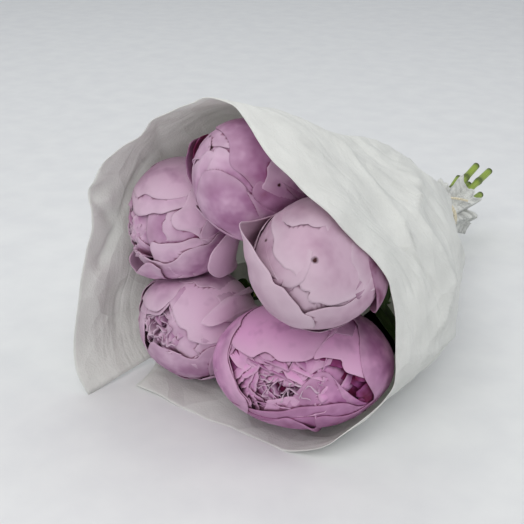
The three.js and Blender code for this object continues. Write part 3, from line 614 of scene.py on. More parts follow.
def put_uv(mesh, across, along):
    """A UV map from one value across and one along for each point."""
    layer = mesh.uv_layers.new(name="UVMap")
    index = np.empty(len(mesh.loops), np.int32)
    mesh.loops.foreach_get("vertex_index", index)
    uv = np.stack([np.asarray(across)[index], np.asarray(along)[index]], -1)
    layer.data.foreach_set("uv", uv.astype(np.float32).ravel())


def add_modifier(piece, kind, **settings):
    modifier = piece.modifiers.new(kind.title(), kind)
    for key, value in settings.items():
        setattr(modifier, key, value)


def settle(piece):
    """Applies a piece's modifiers, so that what is left is a plain mesh."""
    graph = bpy.context.evaluated_depsgraph_get()
    mesh = bpy.data.meshes.new_from_object(piece.evaluated_get(graph))
    piece.modifiers.clear()
    piece.data = mesh
    mesh.name = piece.name
    return piece


def finish_piece(piece, slot, *replaced):
    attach(piece, BODY)
    if replaced:
        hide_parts(*replaced)


# ---- materials -----------------------------------------------------------------------
def add_node(tree, kind, links=(), stops=(), **settings):
    """Adds a node with its settings, which are properties or input values.

    A pair in links is an input with the socket, the number, the vector or the sRGB hex
    colour that goes in. A pair in stops is a colour ramp's position and colour."""
    node = tree.nodes.new(kind)
    for key, value in settings.items():
        if hasattr(node, key) and key not in node.inputs:
            setattr(node, key, value)
        else:
            node.inputs[key].default_value = value
    for socket, source in links:
        if isinstance(source, bpy.types.NodeSocket):
            tree.links.new(source, node.inputs[socket])
        else:
            node.inputs[socket].default_value = rgba(source) if isinstance(source, str) else source
    for k, (position, colour) in enumerate(stops):
        if k == len(node.color_ramp.elements):
            node.color_ramp.elements.new(1.0)
        node.color_ramp.elements[k].position = position
        node.color_ramp.elements[k].color = rgba(colour)
    return node


def new_material(name):
    material = bpy.data.materials.new(name)
    material.use_nodes = True
    tree = material.node_tree
    tree.nodes.clear()
    return material, tree


def moved_by(tree, value, pattern, middle, weight):
    """value + (pattern - middle) * weight"""
    for operation, other in (("SUBTRACT", middle), ("MULTIPLY", weight), ("ADD", value)):
        pattern = add_node(tree, "ShaderNodeMath", [(0, pattern), (1, other)], operation=operation).outputs[0]
    return pattern


def add_surface(tree, colour, relief, strength, distance, glow, glow_share, **settings):
    """A matt skin or sheet with a relief in it: a Principled surface that lets some light through."""
    bump = add_node(tree, "ShaderNodeBump", [("Height", relief)], Strength=strength, Distance=distance)
    skin = add_node(tree, "ShaderNodeBsdfPrincipled", [("Base Color", colour), ("Normal", bump.outputs[0])],
                    **settings)
    lit = add_node(tree, "ShaderNodeBsdfTranslucent", [("Color", glow), ("Normal", bump.outputs[0])])
    mixed = add_node(tree, "ShaderNodeMixShader",
                     [(0, glow_share), (1, skin.outputs[0]), (2, lit.outputs[0])])
    add_node(tree, "ShaderNodeOutputMaterial", [("Surface", mixed.outputs[0])])


def petal_material(name, deep, main, pale, root, rim, glow_share, spots=()):
    """Fresh peony petal: satin and softly clouded, deep at the root and pale at the rim, with painted shade
    in its crevices.
    """
    material, tree = new_material(name)
    uv = add_node(tree, "ShaderNodeUVMap", uv_map="UVMap").outputs[0]
    tone = add_node(tree, "ShaderNodeAttribute", attribute_name="tone").outputs["Fac"]
    closed = add_node(tree, "ShaderNodeAttribute", attribute_name="closed").outputs["Fac"]
    along = add_node(tree, "ShaderNodeSeparateXYZ", [("Vector", uv)]).outputs[1]
    where = add_node(tree, "ShaderNodeTexCoord").outputs["Object"]
    # A petal's tone also gives it a shade of its own, the same all over it.
    own = add_node(tree, "ShaderNodeCombineXYZ", [("Z", tone)])
    shade = add_node(tree, "ShaderNodeTexNoise", [("Vector", own.outputs[0])], Scale=1.0, Detail=4.0,
                     Roughness=0.6).outputs["Fac"]
    # Soft clouds about 12 mm across, as a petal's flesh varies in thickness.
    clouds = add_node(tree, "ShaderNodeTexNoise", [("Vector", where)], Scale=80.0, Detail=2.0).outputs["Fac"]
    # The tone sets the level on the ramp. Tones were set partly to lighten shaded petals and darken others,
    # so this level is partly painted light and shade.
    level = add_node(tree, "ShaderNodeMath", [(0, tone), (1, 0.62)], operation="MULTIPLY").outputs[0]
    level = moved_by(tree, moved_by(tree, level, shade, 0.15, 0.75), clouds, 0.5, 1.1)
    colour = add_node(tree, "ShaderNodeValToRGB", [("Fac", level)],
                      [(0.0, root), (0.2, deep), (0.52, main), (0.92, pale)]).outputs["Color"]
    # The rim bleaches over its last tenth, but a dark petal keeps its colour to the rim.
    rim_mask = add_node(tree, "ShaderNodeMapRange", [
        ("Value", moved_by(tree, along, shade, 0.5, 0.22)), ("From Min", 0.84), ("From Max", 1.03),
        ("To Max", 0.7)], interpolation_type="SMOOTHSTEP")
    bleached = add_node(tree, "ShaderNodeMapRange", [("Value", tone), ("From Min", -0.1), ("From Max", 0.7)])
    rim_mask = add_node(tree, "ShaderNodeMath", [(0, rim_mask.outputs[0]), (1, bleached.outputs[0])],
                        operation="MULTIPLY")
    # The root deepens towards the stem.
    root_mask = add_node(tree, "ShaderNodeMapRange", [
        ("Value", moved_by(tree, along, shade, 0.5, 0.3)), ("From Min", 0.38), ("From Max", 0.06),
        ("To Max", 0.9)], interpolation_type="SMOOTHSTEP")
    # Painted shade: where the attribute closed says petals lie close, crevices are darkened towards the
    # crimson root colour, standing in for the tinted shade between petals.
    crevice_shade = add_node(tree, "ShaderNodeMapRange", [
        ("Value", closed), ("From Min", 0.16), ("From Max", 0.85), ("To Max", 0.7)],
        interpolation_type="SMOOTHSTEP")
    layers = [(rim_mask, rim), (root_mask, root), (crevice_shade, root)]
    # Bruises dry to brown specks with ragged edges.
    ragged = add_node(tree, "ShaderNodeTexNoise", [("Vector", where)], Scale=400.0, Detail=2.0)
    pulled = add_node(tree, "ShaderNodeMix", [(0, 0.0015), (6, where), (7, ragged.outputs["Color"])],
                      data_type="RGBA")
    for *place, radius in spots:
        away = add_node(tree, "ShaderNodeVectorMath", [
            (0, pulled.outputs[2]), (1, [v * MM for v in place])], operation="DISTANCE")
        speck = add_node(tree, "ShaderNodeMapRange", [
            ("Value", away.outputs["Value"]), ("From Min", 1.25 * radius * MM),
            ("From Max", 0.5 * radius * MM)])
        layers.append((speck, "#3E1418"))
    for mask, over in layers:
        colour = add_node(tree, "ShaderNodeMix", [(0, mask.outputs[0]), (6, colour), (7, over)],
                          data_type="RGBA").outputs[2]
    relief = add_node(tree, "ShaderNodeMath", [(0, clouds), (1, 1.5)], operation="MULTIPLY")
    add_surface(tree, colour, relief.outputs[0], 0.22, 0.0012, colour, glow_share, **{
        "Roughness": 0.56, "Specular IOR Level": 0.25, "Sheen Weight": 0.08, "Sheen Roughness": 0.5})
    return material


def paper_material(main):
    """Thin bleached wrapping paper: matt, faintly fibrous, lit through from behind."""
    material, tree = new_material("bleached wrapping paper")
    uv = add_node(tree, "ShaderNodeUVMap", uv_map="UVMap").outputs[0]
    where = add_node(tree, "ShaderNodeTexCoord").outputs["Object"]
    # Pulp clouds about 20 mm across and fibres about 1 mm long, drawn coarser than life.
    clouds = add_node(tree, "ShaderNodeTexNoise", [("Vector", where)], Scale=50.0, Detail=4.0).outputs["Fac"]
    fibres = add_node(tree, "ShaderNodeTexNoise", [("Vector", where)], Scale=700.0, Detail=3.0).outputs["Fac"]
    colour = add_node(tree, "ShaderNodeValToRGB", [("Fac", clouds)],
                      [(0.25, "#E8E9E6"), (0.55, main), (0.8, "#F4F5F2")]).outputs["Color"]
    # Creases run round the roll, where it was rolled, and facets stay where it was crushed.
    stretched = add_node(tree, "ShaderNodeVectorMath", [(0, uv), (1, (5.0, 13.0, 1.0))], operation="MULTIPLY")
    folds = add_node(tree, "ShaderNodeTexNoise", [("Vector", stretched.outputs[0])], Scale=1.0, Detail=3.0,
                     Roughness=0.5, Distortion=0.6).outputs["Fac"]
    pulled = add_node(tree, "ShaderNodeTexNoise", [("Vector", where)], Scale=14.0, Detail=2.0)
    moved = add_node(tree, "ShaderNodeVectorMath", [
        (0, pulled.outputs["Color"]), (1, (0.05, 0.05, 0.05)), (2, where)], operation="MULTIPLY_ADD")
    facets = add_node(tree, "ShaderNodeTexVoronoi", [("Vector", moved.outputs[0])], Scale=26.0)
    # The relief is the folds, as sharp lines, with the facets and a little of the fibres.
    relief = folds
    for operation, other in (("SUBTRACT", 0.5), ("ABSOLUTE", 0), ("MULTIPLY", 1.6),
                             ("ADD", facets.outputs["Distance"])):
        relief = add_node(tree, "ShaderNodeMath", [(0, relief), (1, other)], operation=operation).outputs[0]
    relief = moved_by(tree, relief, fibres, 0, 0.06)
    glow = add_node(tree, "ShaderNodeMix", [(0, 0.5), (6, colour), (7, "#EFEDE4")], data_type="RGBA")
    add_surface(tree, colour, relief, 0.9, 0.006, glow.outputs[2], 0.30,
                **{"Roughness": 0.82, "Specular IOR Level": 0.2})
    return material


def plant_material(name, dark, main, light, glow_share):
    """Stem or leaf skin: waxy green with lengthwise streaks, dark near the last node and at the cut end."""
    material, tree = new_material(name)
    uv = add_node(tree, "ShaderNodeUVMap", uv_map="UVMap").outputs[0]
    cut = add_node(tree, "ShaderNodeAttribute", attribute_name="cut").outputs["Fac"]
    stretched = add_node(tree, "ShaderNodeVectorMath", [(0, uv), (1, (12.0, 3.0, 1.0))], operation="MULTIPLY")
    streaks = add_node(tree, "ShaderNodeTexNoise", [("Vector", stretched.outputs[0])], Scale=1.0,
                       Detail=4.0).outputs["Fac"]
    green = add_node(tree, "ShaderNodeValToRGB", [("Fac", streaks)],
                     [(0.25, dark), (0.5, main), (0.8, light)])
    colour = add_node(tree, "ShaderNodeMix", [(0, cut), (6, green.outputs["Color"]), (7, "#222A08")],
                      data_type="RGBA").outputs[2]
    add_surface(tree, colour, streaks, 0.3, 0.0008, colour, glow_share,
                **{"Roughness": 0.42, "Specular IOR Level": 0.5})
    return material


def twine_material(main):
    """Cream cotton twine: soft twisted plies with a little fuzz of tone."""
    material, tree = new_material("cream cotton twine")
    where = add_node(tree, "ShaderNodeTexCoord").outputs["Object"]
    fuzz = add_node(tree, "ShaderNodeTexNoise", [("Vector", where)], Scale=900.0, Detail=4.0).outputs["Fac"]
    colour = add_node(tree, "ShaderNodeValToRGB", [("Fac", fuzz)],
                      [(0.3, "#C9BD9C"), (0.6, main), (0.85, "#F4EEDF")]).outputs["Color"]
    add_surface(tree, colour, fuzz, 0.6, 0.0004, colour, 0.05, **{"Roughness": 0.9, "Sheen Weight": 0.3})
    return material


def table_material(main):
    """Matt white tabletop, with a faint uneven tone."""
    material, tree = new_material("matt white tabletop")
    where = add_node(tree, "ShaderNodeTexCoord").outputs["Object"]
    grain = add_node(tree, "ShaderNodeTexNoise", [("Vector", where)], Scale=30.0, Detail=3.0)
    colour = add_node(tree, "ShaderNodeValToRGB", [("Fac", grain.outputs["Fac"])],
                      [(0.3, "#DEDFE0"), (0.7, main)])
    top = add_node(tree, "ShaderNodeBsdfPrincipled", [("Base Color", colour.outputs[0])], Roughness=0.75)
    add_node(tree, "ShaderNodeOutputMaterial", [("Surface", top.outputs[0])])
    return material


# ---- settings ------------------------------------------------------------------------
def colour_setting(name, what, colour):
    return bpy.props.FloatVectorProperty(name=name, description="Main colour of " + what,
                                         default=linear(colour), min=0, max=1, subtype="COLOR")


class PEONY_PG_paper(bpy.types.PropertyGroup):
    """The paper roll."""

    thickness: bpy.props.FloatProperty(
        name="Thickness", description="Thickness of the paper", default=0.4 * MM, min=0, unit="LENGTH")
    crease: bpy.props.FloatProperty(
        name="Crease", description="Height of the creases, as a share of those listed", default=2.3, min=0)
    crumple: bpy.props.FloatProperty(
        name="Crumple", description="Height of the fine crumples", default=1.1 * MM, min=0, unit="LENGTH")
    colour: colour_setting("Paper", "the paper", "#F0F1EE")


class PEONY_PG_bloom(bpy.types.PropertyGroup):
    """The blooms."""

    thickness: bpy.props.FloatProperty(
        name="Petal thickness", description="Thickness of a petal", default=0.5 * MM, min=0, unit="LENGTH")
    ruffle_seed: bpy.props.IntProperty(
        name="Ruffle seed", description="Which arrangement the heart ruffles take", default=4)
    ruffle_size: bpy.props.FloatProperty(
        name="Ruffle size", description="Size of the heart ruffles, as a share", default=1.0, min=0.1)
    front: colour_setting("Front bloom", "the front bloom", "#B876AA")
    right: colour_setting("Right bloom", "the right bloom", "#C29CB4")
    others: colour_setting("Other blooms", "the other blooms", "#BE8AB2")
    heart: colour_setting("Hearts", "the ruffled hearts", "#BC86B0")


class PEONY_PG_stem(bpy.types.PropertyGroup):
    """The stems and leaves."""

    leaf_width: bpy.props.FloatProperty(
        name="Leaf width", description="Half width of a middle leaflet", default=9 * MM, unit="LENGTH")
    skin: colour_setting("Stems", "the stems", "#8FA63A")
    blade: colour_setting("Leaves", "the leaves", "#46662A")


class PEONY_PG_twine(bpy.types.PropertyGroup):
    """The tie."""

    radius: bpy.props.FloatProperty(
        name="Twine radius", description="Radius of the twine", default=1.1 * MM, unit="LENGTH")
    turns: bpy.props.IntProperty(name="Turns", description="Turns round the neck", default=3, min=1)
    colour: colour_setting("Twine", "the twine", "#E9E1CB")


class PEONY_PG_stage(bpy.types.PropertyGroup):
    """Floor, light and camera."""

    table: colour_setting("Table", "the table", "#E4E5E5")
    light: bpy.props.FloatProperty(
        name="Sky light", description="Strength of the even light", default=0.68, min=0)
    key: bpy.props.FloatProperty(
        name="Key light", description="Power of the soft key light", default=9.5, min=0, unit="POWER")
    fill: bpy.props.FloatProperty(
        name="Fill light", description="Power of each light from the side", default=4.0, min=0, unit="POWER")


# ---- the paper roll ------------------------------------------------------------------
def tail_edge(angle):
    """The ragged y of the tail's end."""
    ragged = 2.5 * np.sin(np.radians(11 * angle + 40)) + 2.2 * np.sin(np.radians(17 * angle))
    return TAIL_Y + 3 * np.sin(np.radians(3 * angle)) + 2 * np.sin(np.radians(7 * angle)) + ragged


def triangle_wave(x):
    """A folded line between -1 and 1, as creased paper makes where a bend would be a sine."""
    return 2 * np.abs(2 * (x / (2 * np.pi) - np.floor(x / (2 * np.pi) + 0.5))) - 1


def crumple(angle, y, seed):
    """Facets of crumpled paper: folded waves laid across each other and pulled about."""
    random = np.random.default_rng(seed)
    u, v = angle * 1.75, y
    total = np.zeros(np.broadcast(u, v).shape)
    for wavelength, weight in ((74, 1.0), (52, 0.8), (36, 0.55), (25, 0.35), (17, 0.2)):
        for _ in range(3):
            heading, phase = random.uniform(0, np.pi), random.uniform(0, 2 * np.pi)
            bend = random.uniform(0.5, 1.3) * np.sin(u / (wavelength * 1.3) + 2 * phase)
            bend = bend + random.uniform(0.5, 1.3) * np.sin(v / (wavelength * 1.1) + phase)
            total = total + weight * triangle_wave(
                2 * np.pi * (u * np.cos(heading) + v * np.sin(heading)) / wavelength + phase + bend)
    return total / 3


def crease_height(angle, y):
    """Height of the listed creases: sharp ridges and valleys that fade out at both ends."""
    total = np.zeros(np.broadcast(angle, y).shape)
    for a0, y0, a1, y1, height, half_width in CREASES:
        scale = np.radians(max(float(roll_radius((a0 + a1) / 2, (y0 + y1) / 2)), 40))
        start = np.array((a0 * scale, y0))
        along = np.array((a1 * scale, y1)) - start
        length = np.linalg.norm(along)
        along /= length
        du, dv = angle * scale - start[0], y - start[1]
        t = du * along[0] + dv * along[1]
        off = du * along[1] - dv * along[0]
        ends = smooth(t, -0.35 * length, 0.2 * length) * (1 - smooth(t, 0.8 * length, 1.35 * length))
        total = total + height * ends * np.exp(-2 * np.abs(off) / half_width)
    return total


def roll_point(angle, y, depth, settings):
    """Points of the sheet, so far inside the roll's radius."""
    x, z = roll_middle(y)
    gathered = smooth(y, PLEATS_FROM_Y, NECK[1]) * PLEAT_DEPTH * (1 + 1.5 * smooth(y, NECK[1], TAIL_Y))
    # The gathers sharpen into pleats that fan out from the neck.
    gathers = np.sin(np.radians(angle * PLEATS))
    gathers = gathers + 0.8 * triangle_wave(np.radians(angle * 13 + 25 * np.sin(y / 40)))
    radius = roll_radius(angle, y) - depth + gathered * gathers
    free = 1 - smooth(y, 235, 290)
    dents = settings.crumple / MM * crumple(angle, y, 12) + settings.crease * crease_height(angle, y)
    radius = radius + free * np.maximum(dents, -MOST_DENT)
    height = z + radius * np.cos(np.radians(angle))
    # On the table the sheet lies flat.
    low = np.maximum(height, np.maximum(depth, 0))
    return np.stack([x + radius * np.sin(np.radians(angle)), np.broadcast_to(y, low.shape), low], -1)


def make_paper(settings):
    across, along, past = PAPER_GRID
    i = np.linspace(0, 1, across)[:, None]
    mouth_angle = FLAP_ANGLE + (SEAM_ANGLE_MOUTH - FLAP_ANGLE) * i
    deep_angle = FLAP_ANGLE + (SEAM_ANGLE_DEEP - FLAP_ANGLE) * i
    rim = 0.7 * np.sin(np.radians(mouth_angle * 9)) + 0.45 * np.sin(np.radians(mouth_angle * 23 + 30))
    front = through(column(MOUTH_EDGE, 0), column(MOUTH_EDGE, 1), mouth_angle) + rim
    t = np.concatenate([np.linspace(0, 1, along), 1 + np.linspace(0, 1, past)[1:]])[None, :]
    deep = NECK[1] - NECK_HALF
    tail_start = NECK[1] + NECK_HALF
    y = np.where(t <= 1, front + (deep - front) * np.minimum(t, 1),
                 tail_start + (tail_edge(deep_angle) - tail_start) * (t - 1))
    angle = mouth_angle + (deep_angle - mouth_angle) * smooth(y, front, SEAM_DEEP_Y)
    under = LAP_INSET * smooth(angle, *LAP_ANGLES)
    lean = through(column(MOUTH_LEAN, 0), column(MOUTH_LEAN, 1), mouth_angle)
    points = roll_point(angle, y, under - lean * (1 - smooth(y - front, 0, LEAN_DEPTH)), settings)
    rows, cols = points.shape[:2]
    sheet = new_object("paper_sheet", to_row(points), grid_faces(rows, cols))
    put_uv(sheet.data, np.repeat(np.linspace(0, 1, rows), cols), np.tile(t.ravel() / 2, rows))
    sheet.data.materials.append(paper_material(settings.colour))
    # The outer face stays where the CAD has it, and the thickness goes in.
    add_modifier(sheet, "SOLIDIFY", thickness=settings.thickness, offset=-1)
    finish_piece(settle(sheet), "paper", "paper_wrap")


# ---- blooms --------------------------------------------------------------------------
def rim_of(petal, u, phase):
    """Side angle, angle from the stem and lift along the rim, for u from -1 to 1."""
    torn = petal["torn"]
    waves = 1.6 * torn * np.sin(5 * u + phase[0]) + 1.0 * torn * np.sin(12 * u + phase[1])
    waves = waves + 0.5 * torn * triangle_wave(31 * u + phase[2])
    if "rim" not in petal:
        notch = 5 * torn * np.exp(-((u - 0.5 * np.sin(phase[3])) / 0.1) ** 2)
        alpha = petal["to"] * (1 - 0.11 * np.abs(u) ** 3) + 1.4 * waves - notch
        return petal["half"] * u, alpha, np.zeros(u.shape)
    rim = np.array([(*p, 0)[:3] for p in petal["rim"]], float)
    length = np.concatenate([[0], np.cumsum(np.hypot(*np.diff(rim[:, :2], axis=0).T))])
    side, alpha, lift = through(length, rim[:, None, :], (u + 1) / 2 * length[-1], 3)
    return side, alpha + 0.55 * waves, lift


def put_crevice_shade(piece):
    """Stores how far each point is hemmed in by nearby petals, from 0 in the open to 1, as the attribute
    closed, which the petal material uses to paint shade into crevices.
    """
    mesh = piece.data
    tree = BVHTree.FromPolygons([v.co[:] for v in mesh.vertices], [f.vertices[:] for f in mesh.polygons])
    ways = [Vector(way) * 0.95 for way in (
        (1, 0, 0), (-0.5, 0.87, 0), (-0.5, -0.87, 0), (0, 0.3, 0.95), (0.2, -0.5, -0.85))]
    closed = []
    for vertex in mesh.vertices:
        start, total = vertex.co + vertex.normal * 0.5 * MM, 0
        for way in ways:
            distance = tree.ray_cast(start, (vertex.normal + way).normalized(), CREVICE_SHADE_REACH * MM)[3]
            total += 0 if distance is None else 1 - distance / (CREVICE_SHADE_REACH * MM)
        closed.append(total / len(ways))
    put_attribute(mesh, "closed", closed)


def petal_grid(bloom, petal, seed):
    """Points of one petal, and its share across and along at each point."""
    phase = np.random.default_rng(seed).uniform(0, 2 * np.pi, 6)
    kind = "curled" if "rise" in petal else "rimmed" if "rim" in petal else "arced"
    u, v = shares(*PETAL_GRID[kind])
    # Rows lie closer together towards the rim.
    v = 1 - (1 - v) ** 1.3
    rim_side, rim_alpha, lift = rim_of(petal, u, phase)
    start = petal.get("start", PETAL_FROM)
    alpha = start + (rim_alpha - start) * v
    widening = 0.35 + 0.65 * np.sin(np.pi / 2 * np.minimum(1, v / 0.6))
    widening = np.maximum(widening, petal.get("widest", 0))
    narrowing = 0 if "rim" in petal else 0.13 * np.maximum(0, (v - 0.6) / 0.4) ** 2
    side = rim_side * (widening - narrowing)
    wave = petal["wave"]
    off = petal["layer"] * (LAYER_OUT if petal["layer"] > 0 else LAYER_IN)
    off = off + petal["flare"] * v**3 + lift * smooth(v, 0.25, 0.9)
    off = off + 0.8 * (1 - u * u) * v if "half" in petal else off
    off = off - petal.get("rise", 0) * (1 - v) ** 1.4
    off = off + wave * np.sin(3.2 * u + phase[3]) * v * v
    off = off + 0.45 * wave * np.sin(7.5 * u + phase[4] + 1.5 * v) * v**3
    off = off + 0.30 * wave * np.sin(15 * u + phase[5]) * v**6
    # Shallow lengthwise folds fan out from the root.
    off = off + 0.16 * np.sin(19 * u + phase[1]) * np.sin(np.pi * np.minimum(v * 1.1, 1))
    points = pressed(bloom.point(petal["turn"], alpha, side, off), bloom)
    return points, np.broadcast_to((u + 1) / 2, points.shape[:2]), np.broadcast_to(v, points.shape[:2])


def curled_petals(bloom, seed):
    """Rows for the petals whose rims curl towards the middle of an open bloom."""
    count, middle, half = CURLED[bloom.name]
    random = np.random.default_rng(seed)
    for k in range(count):
        spiral = math.radians(GOLDEN_ANGLE * k + random.uniform(-20, 20))
        share = math.sqrt((count - k - 0.4) / count)
        across = middle[0] + half[0] * share * math.sin(spiral)
        up = middle[1] + half[1] * share * math.cos(spiral)
        out = math.sqrt(max(1 - across**2 - up**2, 0.05))
        # The rim's middle in the petal's own frame.
        radial = up * math.cos(spiral) + across * math.sin(spiral)
        side = math.degrees(math.asin(np.clip(across * math.cos(spiral) - up * math.sin(spiral), -1, 1)))
        alpha = math.degrees(math.atan2(radial, -out)) % 360
        wide = random.uniform(11, 25)
        tilt, bend = random.uniform(-16, 16), random.uniform(-3, 8)
        rim = [(side + wide * x, alpha + tilt * x - bend * x * x) for x in np.linspace(-1, 1, 7)]
        yield {"turn": math.degrees(spiral), "layer": -2 - 5 * (1 - share),
               "flare": random.uniform(-1.5, 2.5),
               "wave": random.uniform(0.4, 1.3), "torn": random.uniform(0.3, 1.2),
               "tone": random.uniform(0.35, 1.05), "rim": rim, "start": alpha - random.uniform(24, 40),
               "widest": 0.85, "rise": random.uniform(7, 13)}


def make_petals(bloom, settings, material):
    """All petals of a bloom but its ruffled heart."""
    verts, faces, across, along, tone, count = [], [], [], [], [], 0
    rows = [dict(zip(RIM_KEYS, row)) for row in RIMMED[bloom.name]]
    rows += [dict(zip(ARC_KEYS, row)) for row in ARCED[bloom.name]]
    if bloom.name in CURLED:
        rows += list(curled_petals(bloom, settings.ruffle_seed))
    for k, petal in enumerate(rows):
        points, u, v = petal_grid(bloom, petal, 100 * list(BLOOMS).index(bloom.name) + k)
        faces += grid_faces(*points.shape[:2], start=count)
        count += u.size
        verts.append(points.reshape(-1, 3))
        across.append(u.ravel() + k)
        # Only the curled petals show the deep colour of their roots.
        along.append(np.maximum(1.4 * v - 0.4, 0).ravel() if "rise" in petal else 0.3 + 0.7 * v.ravel())
        tone.append(np.full(u.size, petal["tone"]))
    piece = new_object("peony_" + bloom.name, to_row(np.concatenate(verts)), faces)
    put_uv(piece.data, np.concatenate(across), np.concatenate(along))
    put_attribute(piece.data, "tone", np.concatenate(tone))
    piece.data.materials.append(material)
    # The grid's outer face is the petal's back, so its thickness goes inwards.
    add_modifier(piece, "SOLIDIFY", thickness=settings.thickness, offset=-1)
    settle(piece)
    # Painted shade: how hemmed in each point is, for the material to darken crevices.
    put_crevice_shade(piece)
    finish_piece(piece, SLOTS[bloom.name], "bloom_" + bloom.name)


def ruffle_shape(index, settings):
    """One crumpled heart petal in its own frame: X across, Y outwards and Z up it."""
    random = np.random.default_rng(70 + index)
    phase = random.uniform(0, 2 * np.pi, 4)
    u, v = shares(*RUFFLE_GRID)
    width = 7.6 * (0.42 + 0.58 * np.sin(np.pi / 2 * np.minimum(1, v / 0.75))) * (1 - 0.14 * v**6)
    rim = 1 - 0.16 * np.abs(u) ** 2.4 + 0.07 * np.sin(4 * u + phase[0]) + 0.05 * np.sin(9 * u + phase[1])
    x = u * width + 0.9 * np.sin(2.5 * v + phase[2]) * v
    z = RUFFLE_HEIGHT * v * rim
    y = -3.6 * u * u * v + 1.9 * np.sin(3.4 * u + phase[3]) * v**2 + 0.9 * np.sin(8 * u + phase[0]) * v**4
    y = y + 2.4 * v**3 - 1.2 * v
    points = np.stack(np.broadcast_arrays(x, y, z), -1)
    shape = new_object(f"ruffle_{index}", points.reshape(-1, 3) * MM, grid_faces(*points.shape[:2]))
    put_uv(shape.data, np.broadcast_to((u + 1) / 2, points.shape[:2]).ravel() + 40 + index,
           np.broadcast_to(v * 0.55 + 0.45, points.shape[:2]).ravel())
    add_modifier(shape, "SOLIDIFY", thickness=settings.thickness, offset=0)
    settle(shape)
    bpy.context.scene.collection.objects.unlink(shape)
    return shape


def new_tree(name, output, *inputs):
    """A Geometry Nodes tree, and what comes in: inputs are a name, a kind and any default."""
    tree = bpy.data.node_groups.new(name, "GeometryNodeTree")
    for label, kind, *default in inputs:
        socket = tree.interface.new_socket(name=label, in_out="INPUT", socket_type=kind)
        for value in default:
            socket.default_value = value
    tree.interface.new_socket(name="Material", in_out="INPUT", socket_type="NodeSocketMaterial")
    tree.interface.new_socket(name=output, in_out="OUTPUT", socket_type="NodeSocketGeometry")
    return tree, tree.nodes.new("NodeGroupInput").outputs


def end_tree(tree, given, output, made):
    """Ends a tree in plain geometry with the material on it."""
    whole = add_node(tree, "GeometryNodeRealizeInstances", [("Geometry", made.outputs[0])])
    dressed = add_node(tree, "GeometryNodeSetMaterial",
                       [("Geometry", whole.outputs[0]), ("Material", given["Material"])])
    add_node(tree, "NodeGroupOutput", [(output, dressed.outputs[0])])
    return tree


def add_nodes_modifier(piece, tree, **inputs):
    """Adds a Geometry Nodes modifier and sets its inputs by their sockets' identifiers."""
    modifier = piece.modifiers.new(tree.name, "NODES")
    modifier.node_group = tree
    for item in tree.interface.items_tree:
        if item.item_type == "SOCKET" and item.in_out == "INPUT" and item.name in inputs:
            modifier[item.identifier] = inputs[item.name]


def ruffle_tree():
    """Geometry Nodes: a petal of the set on each foot point, turned as the foot says."""
    tree, given = new_tree("heart ruffles", "Ruffles", ("Feet", "NodeSocketGeometry"),
                           ("Petals", "NodeSocketCollection"), ("Size", "NodeSocketFloat", 1.0),
                           ("Seed", "NodeSocketInt", 1))
    kinds = add_node(tree, "GeometryNodeCollectionInfo", [
        ("Collection", given["Petals"]), ("Separate Children", True), ("Reset Children", True)])
    turned = add_node(tree, "GeometryNodeInputNamedAttribute", data_type="FLOAT_VECTOR", Name="turned")
    which = add_node(tree, "FunctionNodeRandomValue", [
        ("Seed", given["Seed"]), (4, 0), (5, RUFFLE_KINDS - 1)], data_type="INT")
    spread = add_node(tree, "FunctionNodeRandomValue", [
        ("Seed", given["Seed"]), (2, 0.82), (3, 1.18)], data_type="FLOAT")
    size = add_node(tree, "ShaderNodeMath", [(0, spread.outputs[1]), (1, given["Size"])],
                    operation="MULTIPLY")
    placed = add_node(tree, "GeometryNodeInstanceOnPoints", [
        ("Points", given["Feet"]), ("Pick Instance", True), ("Instance", kinds.outputs[0]),
        ("Instance Index", which.outputs[2]), ("Rotation", turned.outputs[0]), ("Scale", size.outputs[0])])
    return end_tree(tree, given, "Ruffles", placed)


def make_heart(bloom, tree, kinds, settings, material):
    """The ruffled heart: feet on the bloom's opening, with a crumpled petal on each."""
    count, middle, half, depth, height = HEARTS[bloom.name]
    random = np.random.default_rng(settings.ruffle_seed + len(bloom.name))
    feet, turned, tone = [], [], []
    for k in range(count):
        spiral = math.radians(GOLDEN_ANGLE * k + random.uniform(-14, 14))
        share = math.sqrt((k + 0.5) / count)
        across = middle[0] + half[0] * share * math.cos(spiral)
        up_share = middle[1] + half[1] * share * math.sin(spiral)
        turn = math.degrees(math.atan2(across, up_share))
        from_pole = math.degrees(math.asin(min(math.hypot(across, up_share), 0.98)))
        feet.append(bloom.point(turn, 180 - from_pole, 0, -depth))
        radial = bloom.up * math.cos(math.radians(turn)) + bloom.right * math.sin(math.radians(turn))
        lean = 0.10 + 0.42 * from_pole / 45
        up = unit(bloom.axis + lean * radial + random.uniform(-0.14, 0.14, 3))
        out = unit(radial - (radial @ up) * up)
        twist = math.radians(random.uniform(-60, 60))
        out = out * math.cos(twist) + np.cross(up, out) * math.sin(twist)
        matrix = Matrix([Vector(np.cross(out, up)), Vector(out), Vector(up)]).transposed()
        turned.append(matrix.to_euler("XYZ")[:])
        tone.append(random.uniform(0.36, 0.86))
    piece = new_object("heart_" + bloom.name, to_row(feet), [])
    layer = piece.data.attributes.new("turned", "FLOAT_VECTOR", "POINT")
    layer.data.foreach_set("vector", np.array(turned, np.float32).ravel())
    put_attribute(piece.data, "tone", tone)
    add_nodes_modifier(piece, tree, Petals=kinds, Size=settings.ruffle_size * height / RUFFLE_HEIGHT,
                       Seed=settings.ruffle_seed, Material=material)
    settle(piece)
    # The neighbours and the paper press on the ruffles as they do on the petals.
    mesh = piece.data
    points = np.empty(len(mesh.vertices) * 3)
    mesh.vertices.foreach_get("co", points)
    points = pressed(points.reshape(-1, 3) / MM + ORIGIN, bloom)
    mesh.vertices.foreach_set("co", to_row(points).ravel())
    mesh.update()
    # Painted shade: how hemmed in each point is, for the material to darken crevices.
    put_crevice_shade(piece)
    finish_piece(piece, SLOTS[bloom.name], "bloom_" + bloom.name)


